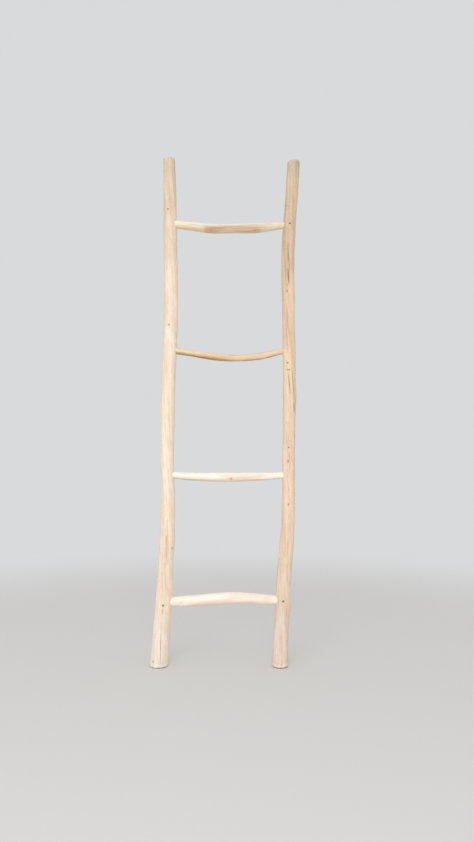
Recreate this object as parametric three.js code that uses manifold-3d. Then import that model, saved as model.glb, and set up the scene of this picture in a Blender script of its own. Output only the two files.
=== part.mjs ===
// A decorative ladder made of peeled tree branches. Two crooked rails stand side by side. Four bowed
// rungs are whittled round at both ends and sit in blind holes bored in the rails, and a nail through
// each of the eight tenons locks it.
// Millimetres. +Z is up along the rails, +X is to the right seen from the front, +Y is to the back.
// The origin is on the floor, under the middle of the ladder's outline.

import * as THREE from "three";
import { mergeVertices } from "three/addons/utils/BufferGeometryUtils.js";
import Module from "manifold-3d";

// The whole ladder
const RAIL_LENGTH = 1500; // the left rail, which is the longer one
const RIGHT_RAIL_SHORTFALL = 7; // how much shorter the right rail is cut
const RAIL_SPACING = 354; // between the straight lines that the two rails wander about
const RAIL_THICKNESS = 40; // of a rail where it is neither stout nor slim
const RUNG_THICKNESS = 30; // of a rung where it is neither stout nor slim
const TOP_RUNG_DROP = 209; // from the left rail's top down to the top rung
const BOTTOM_RUNG_HEIGHT = 186; // from the floor up to the bottom rung

// The rails' cut ends
const FOOT_EDGE = 3; // worn corner round the foot
const TOP_EDGE = 4; // sanded corner round the top
const EDGE_STEPS = 3;

// The joints. A rung's ends are whittled to fit one of the three bits that the holes are bored with.
const LARGE_TENON = 25.5;
const MIDDLE_TENON = 20;
const SMALL_TENON = 17;
const JOINT_GAP = 0.3; // between any two pieces that touch
const MORTISE_FLOOR = 8; // wood left between a hole's bottom and the rail's outer side
const GLUE_SPACE = 1; // between a tenon's end and the bottom of its hole
const TENON_EDGE = 1.5; // bevel that lets a tenon start into its hole

// The nails
const NAIL_LENGTH = 32;
const NAIL_DIAMETER = 2.5;
const NAIL_HEAD_DIAMETER = 5.2;
const NAIL_HEAD_THICKNESS = 1.1;
const NAIL_POINT_LENGTH = 4;
const NAIL_HEAD_DEPTH = 0.6; // how far a head is punched below the wood

// How finely the round pieces are faceted
const RAIL_SIDES = 18;
const RAIL_RING_STEP = 26;
const RUNG_SIDES = 16;
const RUNG_RING_STEP = 13;
const MORTISE_SIDES = 16;
const NAIL_SIDES = 8;

// The face of the rail that a nail is driven from
const FRONT = -1;
const BACK = 1;

// A branch, as it grew. at is a share of its length, and every other size is in its own thickness: aside,
// rise and back are how far its middle wanders to the right, up and to the back, and stout is how thick
// it is there. oval is how far the section is from round, and it turns by twist along the branch.
// A swelling is what is left of a side branch: rise is its height and spread its reach along the wood.
const LEFT_BRANCH = {
  thickness: RAIL_THICKNESS,
  stations: [
    { at: 0, aside: -0.485, back: 0.05, stout: 1.33 },
    { at: 0.06, aside: -0.325, back: 0.04, stout: 1.275 },
    { at: 0.14, aside: -0.095, back: 0, stout: 1.165 },
    { at: 0.18, aside: -0.075, back: -0.04, stout: 1.1 },
    { at: 0.24, aside: 0.055, back: -0.09, stout: 1.08 },
    { at: 0.31, aside: 0.115, back: -0.125, stout: 1.015 },
    { at: 0.39, aside: 0.015, back: -0.1, stout: 0.955 },
    { at: 0.45, aside: 0.02, back: -0.06, stout: 1.03 },
    { at: 0.545, aside: 0.06, back: 0.04, stout: 1 },
    { at: 0.64, aside: 0.165, back: 0.11, stout: 1.025 },
    { at: 0.72, aside: 0.19, back: 0.125, stout: 1.015 },
    { at: 0.83, aside: 0.125, back: 0.06, stout: 0.995 },
    { at: 0.93, aside: 0.065, back: 0, stout: 0.95 },
    { at: 1, aside: -0.005, back: -0.04, stout: 0.835 },
  ],
  oval: 0.025,
  ovalAngle: 0.9,
  twist: 1.6,
  swellings: [
    { at: 0.135, angle: 3.3, rise: 0.055, spread: 0.8 },
    { at: 0.225, angle: 5.6, rise: 0.04, spread: 0.55 },
    { at: 0.6, angle: 2.4, rise: 0.035, spread: 0.65 },
    { at: 0.775, angle: 4.3, rise: 0.03, spread: 0.5 },
  ],
};

const RIGHT_BRANCH = {
  thickness: RAIL_THICKNESS,
  stations: [
    { at: 0, aside: -0.655, back: -0.05, stout: 1.15 },
    { at: 0.06, aside: -0.57, back: -0.05, stout: 1.12 },
    { at: 0.12, aside: -0.44, back: -0.025, stout: 1.08 },
    { at: 0.18, aside: -0.3, back: 0.025, stout: 1.055 },
    { at: 0.25, aside: -0.06, back: 0.09, stout: 1 },
    { at: 0.32, aside: 0.03, back: 0.125, stout: 0.935 },
    { at: 0.39, aside: 0.055, back: 0.125, stout: 0.92 },
    { at: 0.45, aside: 0.1, back: 0.09, stout: 0.91 },
    { at: 0.52, aside: 0.135, back: 0.025, stout: 0.95 },
    { at: 0.585, aside: 0.14, back: -0.025, stout: 0.945 },
    { at: 0.7, aside: 0.085, back: -0.1, stout: 0.925 },
    { at: 0.8, aside: 0.075, back: -0.1, stout: 0.97 },
    { at: 0.87, aside: 0.215, back: -0.05, stout: 0.955 },
    { at: 0.935, aside: 0.41, back: 0.01, stout: 0.92 },
    { at: 1, aside: 0.57, back: 0.075, stout: 0.925 },
  ],
  oval: 0.03,
  ovalAngle: 2.2,
  twist: -1.3,
  swellings: [
    { at: 0.115, angle: 6.1, rise: 0.045, spread: 0.75 },
    { at: 0.376, angle: 4.6, rise: 0.045, spread: 0.5 },
    { at: 0.52, angle: 0.2, rise: 0.035, spread: 0.75 },
    { at: 0.73, angle: 4.8, rise: 0.04, spread: 0.5 },
    { at: 0.905, angle: 4.4, rise: 0.035, spread: 0.45 },
  ],
};

// The rungs, from the top. Each is a branch whose stations run from the left rail's face to the right
// one's. The maker spaced the rungs evenly, give or take offset, in thicknesses. tenons and nails are for
// the left joint and the right one. A nail is driven from one face, off the tenon's axis by a share of
// the tenon's radius.
const RUNGS = [
  {
    name: "top_rung",
    offset: 0,
    thickness: RUNG_THICKNESS,
    tenons: [LARGE_TENON, MIDDLE_TENON],
    stations: [
      { at: 0, rise: 0.215, back: 0 },
      { at: 0.12, rise: 0.05, back: 0.03, stout: 0.855 },
      { at: 0.3, rise: -0.145, back: 0.13, stout: 0.965 },
      { at: 0.52, rise: -0.15, back: 0.2, stout: 0.92 },
      { at: 0.75, rise: -0.14, back: 0.13, stout: 1 },
      { at: 0.9, rise: -0.01, back: 0.05, stout: 0.82 },
      { at: 1, rise: 0.065, back: 0 },
    ],
    oval: 0.035,
    ovalAngle: 1.2,
    twist: 1.1,
    swellings: [{ at: 0.3, angle: 4.4, rise: 0.04, spread: 0.5 }],
    nails: [
      { face: BACK, off: 0 },
      { face: FRONT, off: 0 },
    ],
  },
  {
    name: "upper_rung",
    offset: -0.38,
    thickness: RUNG_THICKNESS,
    tenons: [MIDDLE_TENON, SMALL_TENON],
    stations: [
      { at: 0, rise: 0.085, back: 0 },
      { at: 0.15, rise: -0.16, back: -0.03, stout: 0.66 },
      { at: 0.35, rise: -0.505, back: -0.1, stout: 0.725 },
      { at: 0.58, rise: -0.67, back: -0.17, stout: 0.66 },
      { at: 0.8, rise: -0.445, back: -0.1, stout: 0.7 },
      { at: 1, rise: 0.04, back: 0 },
    ],
    oval: 0.03,
    ovalAngle: 0.4,
    twist: -1.4,
    swellings: [{ at: 0.37, angle: 5.2, rise: 0.037, spread: 0.47 }],
    nails: [
      { face: BACK, off: 0 },
      { face: BACK, off: 0 },
    ],
  },
  {
    name: "lower_rung",
    offset: -0.32,
    thickness: RUNG_THICKNESS,
    tenons: [MIDDLE_TENON, MIDDLE_TENON],
    stations: [
      { at: 0, rise: 0.065, back: 0 },
      { at: 0.15, rise: -0.07, back: 0.07, stout: 0.79 },
      { at: 0.5, rise: -0.14, back: 0.17, stout: 0.9 },
      { at: 0.8, rise: -0.075, back: 0.1, stout: 0.775 },
      { at: 1, rise: 0.03, back: 0 },
    ],
    oval: 0.03,
    ovalAngle: 2.6,
    twist: 0.9,
    swellings: [{ at: 0.55, angle: 4, rise: 0.033, spread: 0.47 }],
    nails: [
      { face: BACK, off: 0 },
      { face: BACK, off: 0 },
    ],
  },
  {
    name: "bottom_rung",
    offset: 0,
    thickness: RUNG_THICKNESS,
    tenons: [LARGE_TENON, LARGE_TENON],
    stations: [
      { at: 0, rise: -0.105, back: 0 },
      { at: 0.12, rise: -0.075, back: -0.03, stout: 1.025 },
      { at: 0.43, rise: 0.16, back: -0.13, stout: 1.175 },
      { at: 0.62, rise: 0.275, back: -0.13, stout: 1.11 },
      { at: 0.85, rise: 0.14, back: -0.07, stout: 0.995 },
      { at: 1, rise: 0.05, back: 0 },
    ],
    oval: 0.035,
    ovalAngle: 0.8,
    twist: -1.2,
    swellings: [{ at: 0.68, angle: 1.6, rise: 0.053, spread: 0.6 }],
    nails: [
      { face: FRONT, off: -0.55 },
      { face: FRONT, off: 0 },
    ],
  },
];

// Finishes
const RAIL_WOOD = new THREE.MeshStandardMaterial({ color: 0xe6cfae, roughness: 0.78, metalness: 0 });
const PALE_RUNG_WOOD = new THREE.MeshStandardMaterial({ color: 0xeedfc4, roughness: 0.72, metalness: 0 });
const HONEY_RUNG_WOOD = new THREE.MeshStandardMaterial({ color: 0xd9b384, roughness: 0.7, metalness: 0 });
const NAIL_STEEL = new THREE.MeshStandardMaterial({ color: 0x5b5048, roughness: 0.55, metalness: 0.8 });
const RUNG_FINISHES = {
  top_rung: PALE_RUNG_WOOD,
  upper_rung: HONEY_RUNG_WOOD,
  lower_rung: PALE_RUNG_WOOD,
  bottom_rung: PALE_RUNG_WOOD,
};

const wasm = await Module();
wasm.setup();

/** A closed three.js geometry as a solid that can be cut. */
function solidOf(geometry) {
  const bare = geometry.clone();
  bare.deleteAttribute("normal");
  bare.deleteAttribute("uv");
  const merged = mergeVertices(bare, 1e-4);
  return new wasm.Manifold(
    new wasm.Mesh({
      numProp: 3,
      vertProperties: merged.attributes.position.array,
      triVerts: new Uint32Array(merged.index.array),
    }),
  );
}

/** A three.js geometry less the shapes that are cut out of it. */
function cut(geometry, cutters) {
  const solid = cutters.reduce((wood, cutter) => wood.subtract(solidOf(cutter)), solidOf(geometry));
  const mesh = solid.getMesh();
  const result = new THREE.BufferGeometry();
  result.setAttribute("position", new THREE.BufferAttribute(mesh.vertProperties, mesh.numProp));
  result.setIndex(new THREE.BufferAttribute(mesh.triVerts, 1));
  result.computeVertexNormals();
  return result;
}

/** One property of a branch at a share of its length: a smooth cubic through the branch's stations. */
function along(stations, property, share) {
  const last = stations.length - 1;
  const next = stations.findIndex((station) => station.at > share);
  const i = next < 0 ? last - 1 : Math.max(next - 1, 0);
  const [from, to] = [stations[i], stations[i + 1]];
  const slopeAt = (k) => {
    const before = stations[Math.max(k - 1, 0)];
    const after = stations[Math.min(k + 1, last)];
    return (after[property] - before[property]) / (after.at - before.at);
  };
  const span = to.at - from.at;
  const t = (share - from.at) / span;
  const start = (1 + 2 * t) * (1 - t) ** 2 * from[property] + t * (1 - t) ** 2 * span * slopeAt(i);
  const end = t * t * (3 - 2 * t) * to[property] + t * t * (t - 1) * span * slopeAt(i + 1);
  return start + end;
}

/** How far a branch's middle wanders in one direction, at a share of its length. */
function wander(branch, direction, share) {
  return branch.thickness * along(branch.stations, direction, share);
}

/** The distance from the middle of a branch to its surface, at a share of its length and an angle. */
function girth(branch, length, share, angle) {
  const radius = (branch.thickness * along(branch.stations, "stout", share)) / 2;
  const oval = branch.oval * Math.cos(2 * (angle - branch.ovalAngle) + branch.twist * share);
  const swelling = branch.swellings.reduce((sum, knot) => {
    const turn = Math.atan2(Math.sin(angle - knot.angle), Math.cos(angle - knot.angle));
    const away = Math.hypot((share - knot.at) * length, radius * turn);
    return sum + branch.thickness * knot.rise * Math.exp(-((away / (branch.thickness * knot.spread)) ** 2));
  }, 0);
  return radius * (1 + oval) + swelling;
}

/** The rounded corner at a branch's end, from the end face's rim: [inset, distance from the end]. */
function corner(edge, steps) {
  return Array.from({ length: steps + 1 }, (_, k) => {
    const turn = (k / steps) * (Math.PI / 2);
    return [edge * (1 - Math.sin(turn)), edge * (1 - Math.cos(turn))];
  });
}

/**
 * A closed branch that runs along +Z: a revolved cylinder whose rings are bent onto the branch's line.
 * centreAt(place) and reachAt(place, angle) give the line and the surface; places are the rings between
 * the two ends, and corners are the rounded corners at the low end and the high end.
 */
function growBranch({ places, low, high, corners, centreAt, reachAt, sides }) {
  const [lowCorner, highCorner] = corners;
  const rings = [
    ...lowCorner.map(([inset, distance]) => ({ inset, place: low + distance })),
    ...places.map((place) => ({ inset: 0, place })),
    ...highCorner.map(([inset, distance]) => ({ inset, place: high - distance })).reverse(),
  ];
  const profile = rings.map((_, i) => new THREE.Vector2(1, i + 1));
  profile.unshift(new THREE.Vector2(0, 0));
  profile.push(new THREE.Vector2(0, rings.length + 1));
  const geometry = new THREE.LatheGeometry(profile, sides).rotateX(Math.PI / 2);
  const position = geometry.attributes.position;
  for (let i = 0; i < position.count; i++) {
    const [x, y] = [position.getX(i), position.getY(i)];
    const k = THREE.MathUtils.clamp(Math.round(position.getZ(i)) - 1, 0, rings.length - 1);
    const { inset, place } = rings[k];
    const centre = centreAt(place);
    const reach = reachAt(place, Math.atan2(y, x)) - inset;
    position.setXYZ(i, centre[0] + x * reach, centre[1] + y * reach, place);
  }
  return geometry;
}

/** Evenly spaced places strictly between two ends, no further apart than step. */
function placesBetween(low, high, step) {
  const count = Math.ceil((high - low) / step);
  return Array.from({ length: count - 1 }, (_, i) => low + ((high - low) * (i + 1)) / count);
}

/** A rail: its side (-1 is left), its branch and its length, and its line and surface at any height. */
function railOf(name, side, branch, length) {
  const x = (side * RAIL_SPACING) / 2;
  const centreAt = (up) => [
    x + wander(branch, "aside", up / length),
    wander(branch, "back", up / length),
  ];
  const reachAt = (up, angle) => girth(branch, length, up / length, angle);
  return { name, side, x, length, centreAt, reachAt };
}

/** The joint of a rung's end and a rail: its tenon, its hole and its nail. */
function jointOf(rung, height, rail) {
  const isLeft = rail.side < 0;
  const tenonRadius = rung.tenons[isLeft ? 0 : 1] / 2;
  const nail = rung.nails[isLeft ? 0 : 1];
  const up = height + wander(rung, "rise", isLeft ? 0 : 1);
  const [x, y] = rail.centreAt(up);
  const inward = isLeft ? 0 : Math.PI;
  const [innerReach, outerReach] = [rail.reachAt(up, inward), rail.reachAt(up, Math.PI - inward)];
  const nailUp = up + nail.off * tenonRadius;
  const [nailX, nailY] = rail.centreAt(nailUp);
  const nailReach = rail.reachAt(nailUp, (nail.face * Math.PI) / 2);
  return {
    name: `${rung.name}_${isLeft ? "left" : "right"}`,
    side: rail.side,
    up,
    y,
    mouth: x - rail.side * innerReach,
    depth: innerReach + outerReach - MORTISE_FLOOR,
    tenonRadius,
    nailHead: new THREE.Vector3(nailX, nailY + nail.face * (nailReach - NAIL_HEAD_DEPTH), nailUp),
    nailTurn: nail.face === FRONT ? 0 : Math.PI,
  };
}

/** The blind hole that a rail has for a tenon. */
function mortise(joint) {
  const radius = (joint.tenonRadius + JOINT_GAP) / Math.cos(Math.PI / MORTISE_SIDES);
  const outside = joint.depth; // the cutter reaches as far out of the hole as into it
  const profile = [
    [0, -outside],
    [radius, -outside],
    [radius, joint.depth],
    [0, joint.depth],
  ].map(([r, h]) => new THREE.Vector2(r, h));
  return new THREE.LatheGeometry(profile, MORTISE_SIDES)
    .rotateZ((-joint.side * Math.PI) / 2)
    .translate(joint.mouth, joint.y, joint.up);
}

/** A nail with its head's top at the origin and its point towards +Y. */
function nailGeometry(gap = 0, above = 0) {
  const head = NAIL_HEAD_DIAMETER / 2 + gap;
  const shank = NAIL_DIAMETER / 2 + gap;
  const profile = [
    [0, -above],
    [head, -above],
    [head, NAIL_HEAD_THICKNESS + gap],
    [shank, NAIL_HEAD_THICKNESS + gap],
    [shank, NAIL_LENGTH - NAIL_POINT_LENGTH + gap],
    [0, NAIL_LENGTH + gap],
  ].map(([r, h]) => new THREE.Vector2(r, h));
  return new THREE.LatheGeometry(profile, NAIL_SIDES);
}

/** The hole that a nail leaves: its own shape with the joint's gap all round, open above the head. */
function nailHole(joint) {
  const { x, y, z } = joint.nailHead;
  return nailGeometry(JOINT_GAP, NAIL_HEAD_DIAMETER).rotateX(joint.nailTurn).translate(x, y, z);
}

/** A mesh whose own origin is a natural point of the piece. */
function placed(name, geometry, material, x, y, z) {
  const mesh = new THREE.Mesh(geometry.translate(-x, -y, -z), material);
  mesh.name = name;
  mesh.position.set(x, y, z);
  return mesh;
}

/** A rail with the holes of its joints. Its origin is on the floor. */
function makeRail(rail, joints) {
  const pole = growBranch({
    ...rail,
    low: 0,
    high: rail.length,
    places: placesBetween(FOOT_EDGE, rail.length - TOP_EDGE, RAIL_RING_STEP),
    corners: [corner(FOOT_EDGE, EDGE_STEPS), corner(TOP_EDGE, EDGE_STEPS)],
    sides: RAIL_SIDES,
  });
  const wood = cut(pole, joints.flatMap((joint) => [mortise(joint), nailHole(joint)]));
  return placed(rail.name, wood, RAIL_WOOD, rail.x, 0, 0);
}

/** A rung's branch, with the tenons' diameters as its thickness at the two ends. */
function whittled(rung) {
  const [leftStout, rightStout] = rung.tenons.map((diameter) => diameter / rung.thickness);
  const stations = rung.stations.map((station) => ({ ...station }));
  stations.at(0).stout = leftStout;
  stations.at(-1).stout = rightStout;
  return { ...rung, stations };
}

/** A rung with its tenons and the holes of its nails. Its origin is where it leaves the left rail. */
function makeRung(rung, height, [left, right]) {
  const span = right.mouth - left.mouth;
  const shareAt = (place) => THREE.MathUtils.clamp((place - left.mouth) / span, 0, 1);
  // The branch is grown along +Z and then laid along +X, which turns its -X side up.
  const centreAt = (place) => {
    const share = shareAt(place);
    const depth = THREE.MathUtils.lerp(left.y, right.y, share);
    return [
      -height - wander(rung, "rise", share),
      depth + wander(rung, "back", share),
    ];
  };
  // The branch is as it grew in the middle, and round where it is whittled at the ends.
  const reachAt = (place, angle) => {
    const share = shareAt(place);
    const grown = { ...rung, oval: rung.oval * Math.sin(Math.PI * share) };
    return girth(grown, span, share, angle);
  };
  const stick = growBranch({
    low: left.mouth - left.depth + GLUE_SPACE,
    high: right.mouth + right.depth - GLUE_SPACE,
    places: [left.mouth, ...placesBetween(left.mouth, right.mouth, RUNG_RING_STEP), right.mouth],
    corners: [corner(TENON_EDGE, 1), corner(TENON_EDGE, 1)],
    centreAt,
    reachAt,
    sides: RUNG_SIDES,
  }).rotateY(Math.PI / 2);
  const wood = cut(stick, [nailHole(left), nailHole(right)]);
  return placed(rung.name, wood, RUNG_FINISHES[rung.name], left.mouth, left.y, height);
}

/** The nail of a joint. */
function makeNail(joint) {
  const nail = new THREE.Mesh(nailGeometry(), NAIL_STEEL);
  nail.name = `nail_${joint.name}`;
  nail.position.copy(joint.nailHead);
  nail.rotation.x = joint.nailTurn;
  return nail;
}

/** The whole ladder, with its feet on the floor and its outline centred over the origin. */
function makeLadder() {
  const leftRail = railOf("left_rail", -1, LEFT_BRANCH, RAIL_LENGTH);
  const rightRail = railOf("right_rail", 1, RIGHT_BRANCH, RAIL_LENGTH - RIGHT_RAIL_SHORTFALL);
  const rungPitch = (RAIL_LENGTH - TOP_RUNG_DROP - BOTTOM_RUNG_HEIGHT) / (RUNGS.length - 1);
  const rungs = RUNGS.map(whittled);
  const heights = rungs.map((rung, i) => {
    return RAIL_LENGTH - TOP_RUNG_DROP - i * rungPitch + rung.offset * rung.thickness;
  });
  const joints = rungs.map((rung, i) => [
    jointOf(rung, heights[i], leftRail),
    jointOf(rung, heights[i], rightRail),
  ]);
  const ladder = new THREE.Group();
  ladder.add(makeRail(leftRail, joints.map(([left]) => left)));
  ladder.add(makeRail(rightRail, joints.map(([, right]) => right)));
  rungs.forEach((rung, i) => ladder.add(makeRung(rung, heights[i], joints[i])));
  joints.flat().forEach((joint) => ladder.add(makeNail(joint)));
  const middle = new THREE.Box3().setFromObject(ladder, true).getCenter(new THREE.Vector3());
  ladder.position.set(-middle.x, -middle.y, 0);
  return new THREE.Group().add(ladder);
}

const ladder = makeLadder();

export default ladder;
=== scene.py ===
import logging
import math
from dataclasses import dataclass, field, replace
from enum import Enum
from typing import Any, ClassVar

import bpy
import numpy as np
from bpy.types import Material, Mesh, NodeSocket, NodeTree, Object
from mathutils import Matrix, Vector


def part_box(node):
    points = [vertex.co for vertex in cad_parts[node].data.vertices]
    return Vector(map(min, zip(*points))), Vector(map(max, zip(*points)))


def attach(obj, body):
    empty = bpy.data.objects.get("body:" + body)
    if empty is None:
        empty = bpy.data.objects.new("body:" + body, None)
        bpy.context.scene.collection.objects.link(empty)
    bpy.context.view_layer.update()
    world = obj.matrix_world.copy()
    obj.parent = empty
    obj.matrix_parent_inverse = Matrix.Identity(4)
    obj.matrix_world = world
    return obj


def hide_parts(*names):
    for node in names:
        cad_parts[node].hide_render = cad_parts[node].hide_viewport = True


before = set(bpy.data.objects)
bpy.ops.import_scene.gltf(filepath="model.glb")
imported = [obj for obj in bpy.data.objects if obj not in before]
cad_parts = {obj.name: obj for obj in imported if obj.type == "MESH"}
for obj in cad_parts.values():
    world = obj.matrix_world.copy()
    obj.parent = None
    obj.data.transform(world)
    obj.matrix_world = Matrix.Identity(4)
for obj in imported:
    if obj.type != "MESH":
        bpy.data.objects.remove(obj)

# A decorative ladder of peeled branches: two crooked rails, four bowed rungs whittled into bored holes, and
# a nail through each tenon. Metres; +Z is up along the rails, +X is to the right seen from the front, and +Y
# is to the back.

MM = 0.001
LOG = logging.getLogger("ladder")

# The whole ladder, in the same sizes as its frame
RAIL_LENGTH = 1.5
RIGHT_RAIL_LENGTH = RAIL_LENGTH - 7 * MM
RAIL_SPACING = 354 * MM
RAIL_THICKNESS = 40 * MM
RUNG_THICKNESS = 30 * MM
RUNG_SPAN = 310 * MM
TOP_RUNG_DROP = 209 * MM
BOTTOM_RUNG_HEIGHT = 186 * MM

# The joints
LARGE_TENON = 25.5 * MM
MIDDLE_TENON = 20 * MM
SMALL_TENON = 17 * MM
JOINT_GAP = 0.3 * MM
MORTISE_FLOOR = 8 * MM
GLUE_SPACE = 1 * MM
TENON_EDGE = 1.5 * MM

# The nails
NAIL_LENGTH = 32 * MM
NAIL_DIAMETER = 2.5 * MM
NAIL_HEAD_DIAMETER = 5.2 * MM
NAIL_HEAD_THICKNESS = 1.1 * MM
NAIL_POINT_LENGTH = 4 * MM
NAIL_HEAD_DEPTH = 0.6 * MM

# The camera, as it stood to the ladder when the ladder is taken as upright
IMAGE_HEIGHT = 842
FOCAL_LENGTH_PX = 650
CAMERA_ASIDE = 30.0 * MM
CAMERA_DISTANCE = 1.91
CAMERA_HEIGHT = 0.575
CAMERA_PITCH = math.radians(3.9)

# The fibres sway as they wind up a branch: how far, in radians, and over a length that the seed picks
SWAY = 0.10
SWAY_LENGTH = 110 * MM
SWAY_LENGTH_STEP = 13 * MM
SWAY_LENGTHS = 5

# Peeling took this much off a branch, and what it left uneven stays within the next size
PEELED_OFF = 0.3 * MM
RIPPLE_LIMIT = 0.35 * MM

# The unevenness is a sum of waves, and those with few crests round the branch are higher
RIPPLE_WAVES = 26
RIPPLE_MOST_CRESTS = 8
RIPPLE_LENGTHS = (35 * MM, 220 * MM)
RIPPLE_HEIGHTS = (0.02 * MM, 0.07 * MM)
RIPPLE_FEW_CRESTS = 4
RIPPLE_BROAD_GAIN = 1.5

# The drawknife: it is this far out of the wood beyond a flat's ends, springs back by this much from its
# depth, and cuts no further round the branch than this, in radians
KNIFE_LIFT = 1.2 * MM
KNIFE_SPRING = 0.15 * MM
KNIFE_REACH = 1.0

# The shortest and the longest of its cuts, and of those that trimmed the feet
PEELING_CUT = (70 * MM, 240 * MM)
HEWN_CUT = (14 * MM, 34 * MM)

# Where a cut lies in its share of the branch, and the lightest cut's share of the deepest
CUT_PLACE = (0.1, 0.9)
LIGHTEST_CUT = 0.35

# The relief of a knot, in its own radius: a swollen collar, a hollow inside it and a sunken heart
COLLAR_RADIUS = 1.15
COLLAR_SPREAD = 0.55
HOLLOW_SHARE = 0.35
HOLLOW_SPREAD = 0.7
HEART_SHARE = 0.05
HEART_SPREAD = 0.55

# How far the feet are worn round their rims
FOOT_WEAR = 0.9 * MM
FOOT_WEAR_HEIGHT = 25 * MM

# A mesh's rings lie closer together within the first reach of a busy place, in its own radius, or of an end,
# and are back at their own spacing at the second
RING_PROBES = 6000
BUSY_REACH = (1.6, 2.6)
END_REACH = (4 * MM, 12 * MM)
NAIL_SPOT = 3 * MM

# The mesh of a log's ends: steps round the corner, rings inside it, and the innermost ring's share
CORNER_STEPS = 5
END_RINGS = 8
END_MIDDLE = 0.12

# A crack in the mesh: this many columns on each side are gathered to it, the outermost in part, out to where
# a column this far off stands, and in full where it is this far open. It is at least the last size wide.
CRACK_COLUMNS = 3
OUTER_PULL = 0.5
CRACK_REACH = 3.6
CRACK_GATHERED = 0.25
LEAST_CRACK = 0.1 * MM

# How deep a drying check runs into the end of a rail, and over which share of the way out it deepens
CHECK_DEPTH = 2.8 * MM
CHECK_RISE = (0.15, 0.6)

# How far a knot colours the wood, in its own radius, and what stands for a place that no knot reaches
KNOT_FADE = (2.1, 2.8)
KNOT_REACH = 3.0
FAR_FROM_KNOTS = 9.0

# The fibres part round a knot over a length this many times its own
FIBRE_STRETCH = 1.8

# A crack's walls are in shadow down to this share of the surface's radius, and however narrow it gets it
# counts as this far open
CRACK_FLOOR = 0.5
LEAST_OPEN = 0.1

# The rust that a nail bled into the wood: its strength, and the square of its spread in nail heads
NAIL_STAIN = 0.55
NAIL_STAIN_SPREAD = 0.35

# The feet's darkening: a dark rim of painted shade where they meet the floor, and a haze of dirt above it
# that fades out
PAINTED_FOOT_SHADE = (1.2 * MM, 3.4 * MM)
PAINTED_FOOT_SHADE_STRENGTH = 0.9
DIRT_HAZE_HEIGHT = 18 * MM
DIRT_HAZE_STRENGTH = 0.1

# How softly a tint ends along a branch: at most this far, and at most this share of its length
TINT_FADE = 130 * MM
TINT_FADE_SHARE = 0.35

# Sawn end grain lies this close to an end, or in a check inside this many widths of its worn edge
SAWN_DEPTH = 0.5 * MM
SAWN_INSET = 1.2

# Keeps divisions away from zero
LEAST_RADIUS = 1 * MM
LEAST_STRENGTH = 1e-6

Array = np.ndarray
Faces = list[tuple[int, ...]]


class Face(Enum):
    """The face of a rail that a nail is driven from; the value is the face's direction along Y."""

    FRONT = -1
    BACK = 1


class Side(Enum):
    """The side of the ladder that a rail stands on; the value is its direction along X."""

    LEFT = -1
    RIGHT = 1

    def label(self) -> str:
        """The side as the pieces' names have it."""
        return self.name.lower()


class Mark(Enum):
    """What a side branch or an injury left in the wood; the value is its strength in the finish.

    A scar has grown over, so only its outline shows, and its strength is negative. A ghost is an old scar.
    """

    EYE = 1.0
    PIN = 0.85
    FAINT = 0.4
    SCAR = -0.8
    GHOST = -0.35


class Blemish(Enum):
    """What darkens the wood; the value is its channel in the points' marks."""

    CRACK = 0
    STAIN = 1
    DIRT = 2


def linear(code: str) -> tuple[float, float, float, float]:
    """Turns an sRGB hex colour into linear RGBA.

    Args:
        code: The colour, as #RRGGBB.

    Returns:
        Linear red, green, blue and an alpha of 1.
    """
    parts = [int(code[i : i + 2], 16) / 255 for i in (1, 3, 5)]
    red, green, blue = (p / 12.92 if p <= 0.04045 else ((p + 0.055) / 1.055) ** 2.4 for p in parts)
    return red, green, blue, 1.0


def add(tree: NodeTree, kind: str, inputs: dict[Any, Any] | None = None, **settings: Any) -> Any:
    """Adds a node with its settings and links.

    Args:
        tree: The node tree.
        kind: The node's class name.
        inputs: For each input, by name or number, the socket that feeds it or its own value.
        **settings: The node's properties.

    Returns:
        The new node.
    """
    node = tree.nodes.new(kind)
    for name, value in settings.items():
        setattr(node, name, value)
    for name, value in (inputs or {}).items():
        if isinstance(value, NodeSocket):
            tree.links.new(value, node.inputs[name])
        else:
            node.inputs[name].default_value = value
    return node


def bare_material(name: str) -> Material:
    """Makes a material with an empty node tree.

    Args:
        name: The material's name.

    Returns:
        The material.
    """
    material = bpy.data.materials.new(name)
    material.use_nodes = True
    material.node_tree.nodes.clear()
    return material


def new_piece(mesh: Mesh) -> Object:
    """Makes an object of a mesh, with the mesh's name, and links it to the scene.

    Args:
        mesh: The mesh.

    Returns:
        The object.
    """
    piece = bpy.data.objects.new(mesh.name, mesh)
    bpy.context.scene.collection.objects.link(piece)
    return piece


def smooth(low: float, high: float, value: Array) -> Array:
    """A smooth step from 0 at low to 1 at high."""
    t = np.clip((value - low) / (high - low), 0, 1)
    return t * t * (3 - 2 * t)


def turn_between(angle: Array, other: Array | float) -> Array:
    """The signed angle from other to angle, between -pi and pi."""
    return np.arctan2(np.sin(angle - other), np.cos(angle - other))


def turn(angle: float) -> float:
    """A turn round a branch, from degrees to radians."""
    return math.radians(angle)


@dataclass(frozen=True)
class Station:
    """A place on a branch, in the branch's own thickness.

    at is a share of the length. aside, rise and back are how far the middle wanders, and stout is how thick
    the branch is there.
    """

    at: float
    aside: float = 0.0
    rise: float = 0.0
    back: float = 0.0
    stout: float = 1.0


@dataclass(frozen=True)
class Swelling:
    """A broad bump that a side branch left: at is a share of the length, rise and spread are thicknesses."""

    at: float
    angle: float
    rise: float
    spread: float


@dataclass(frozen=True)
class Knot:
    """A knot in the surface: its place along the branch in metres, its angle and its size in metres."""

    place: float
    angle: float
    radius: float
    mark: Mark
    stretch: float = 1.0
    rise: float = 0.0


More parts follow.
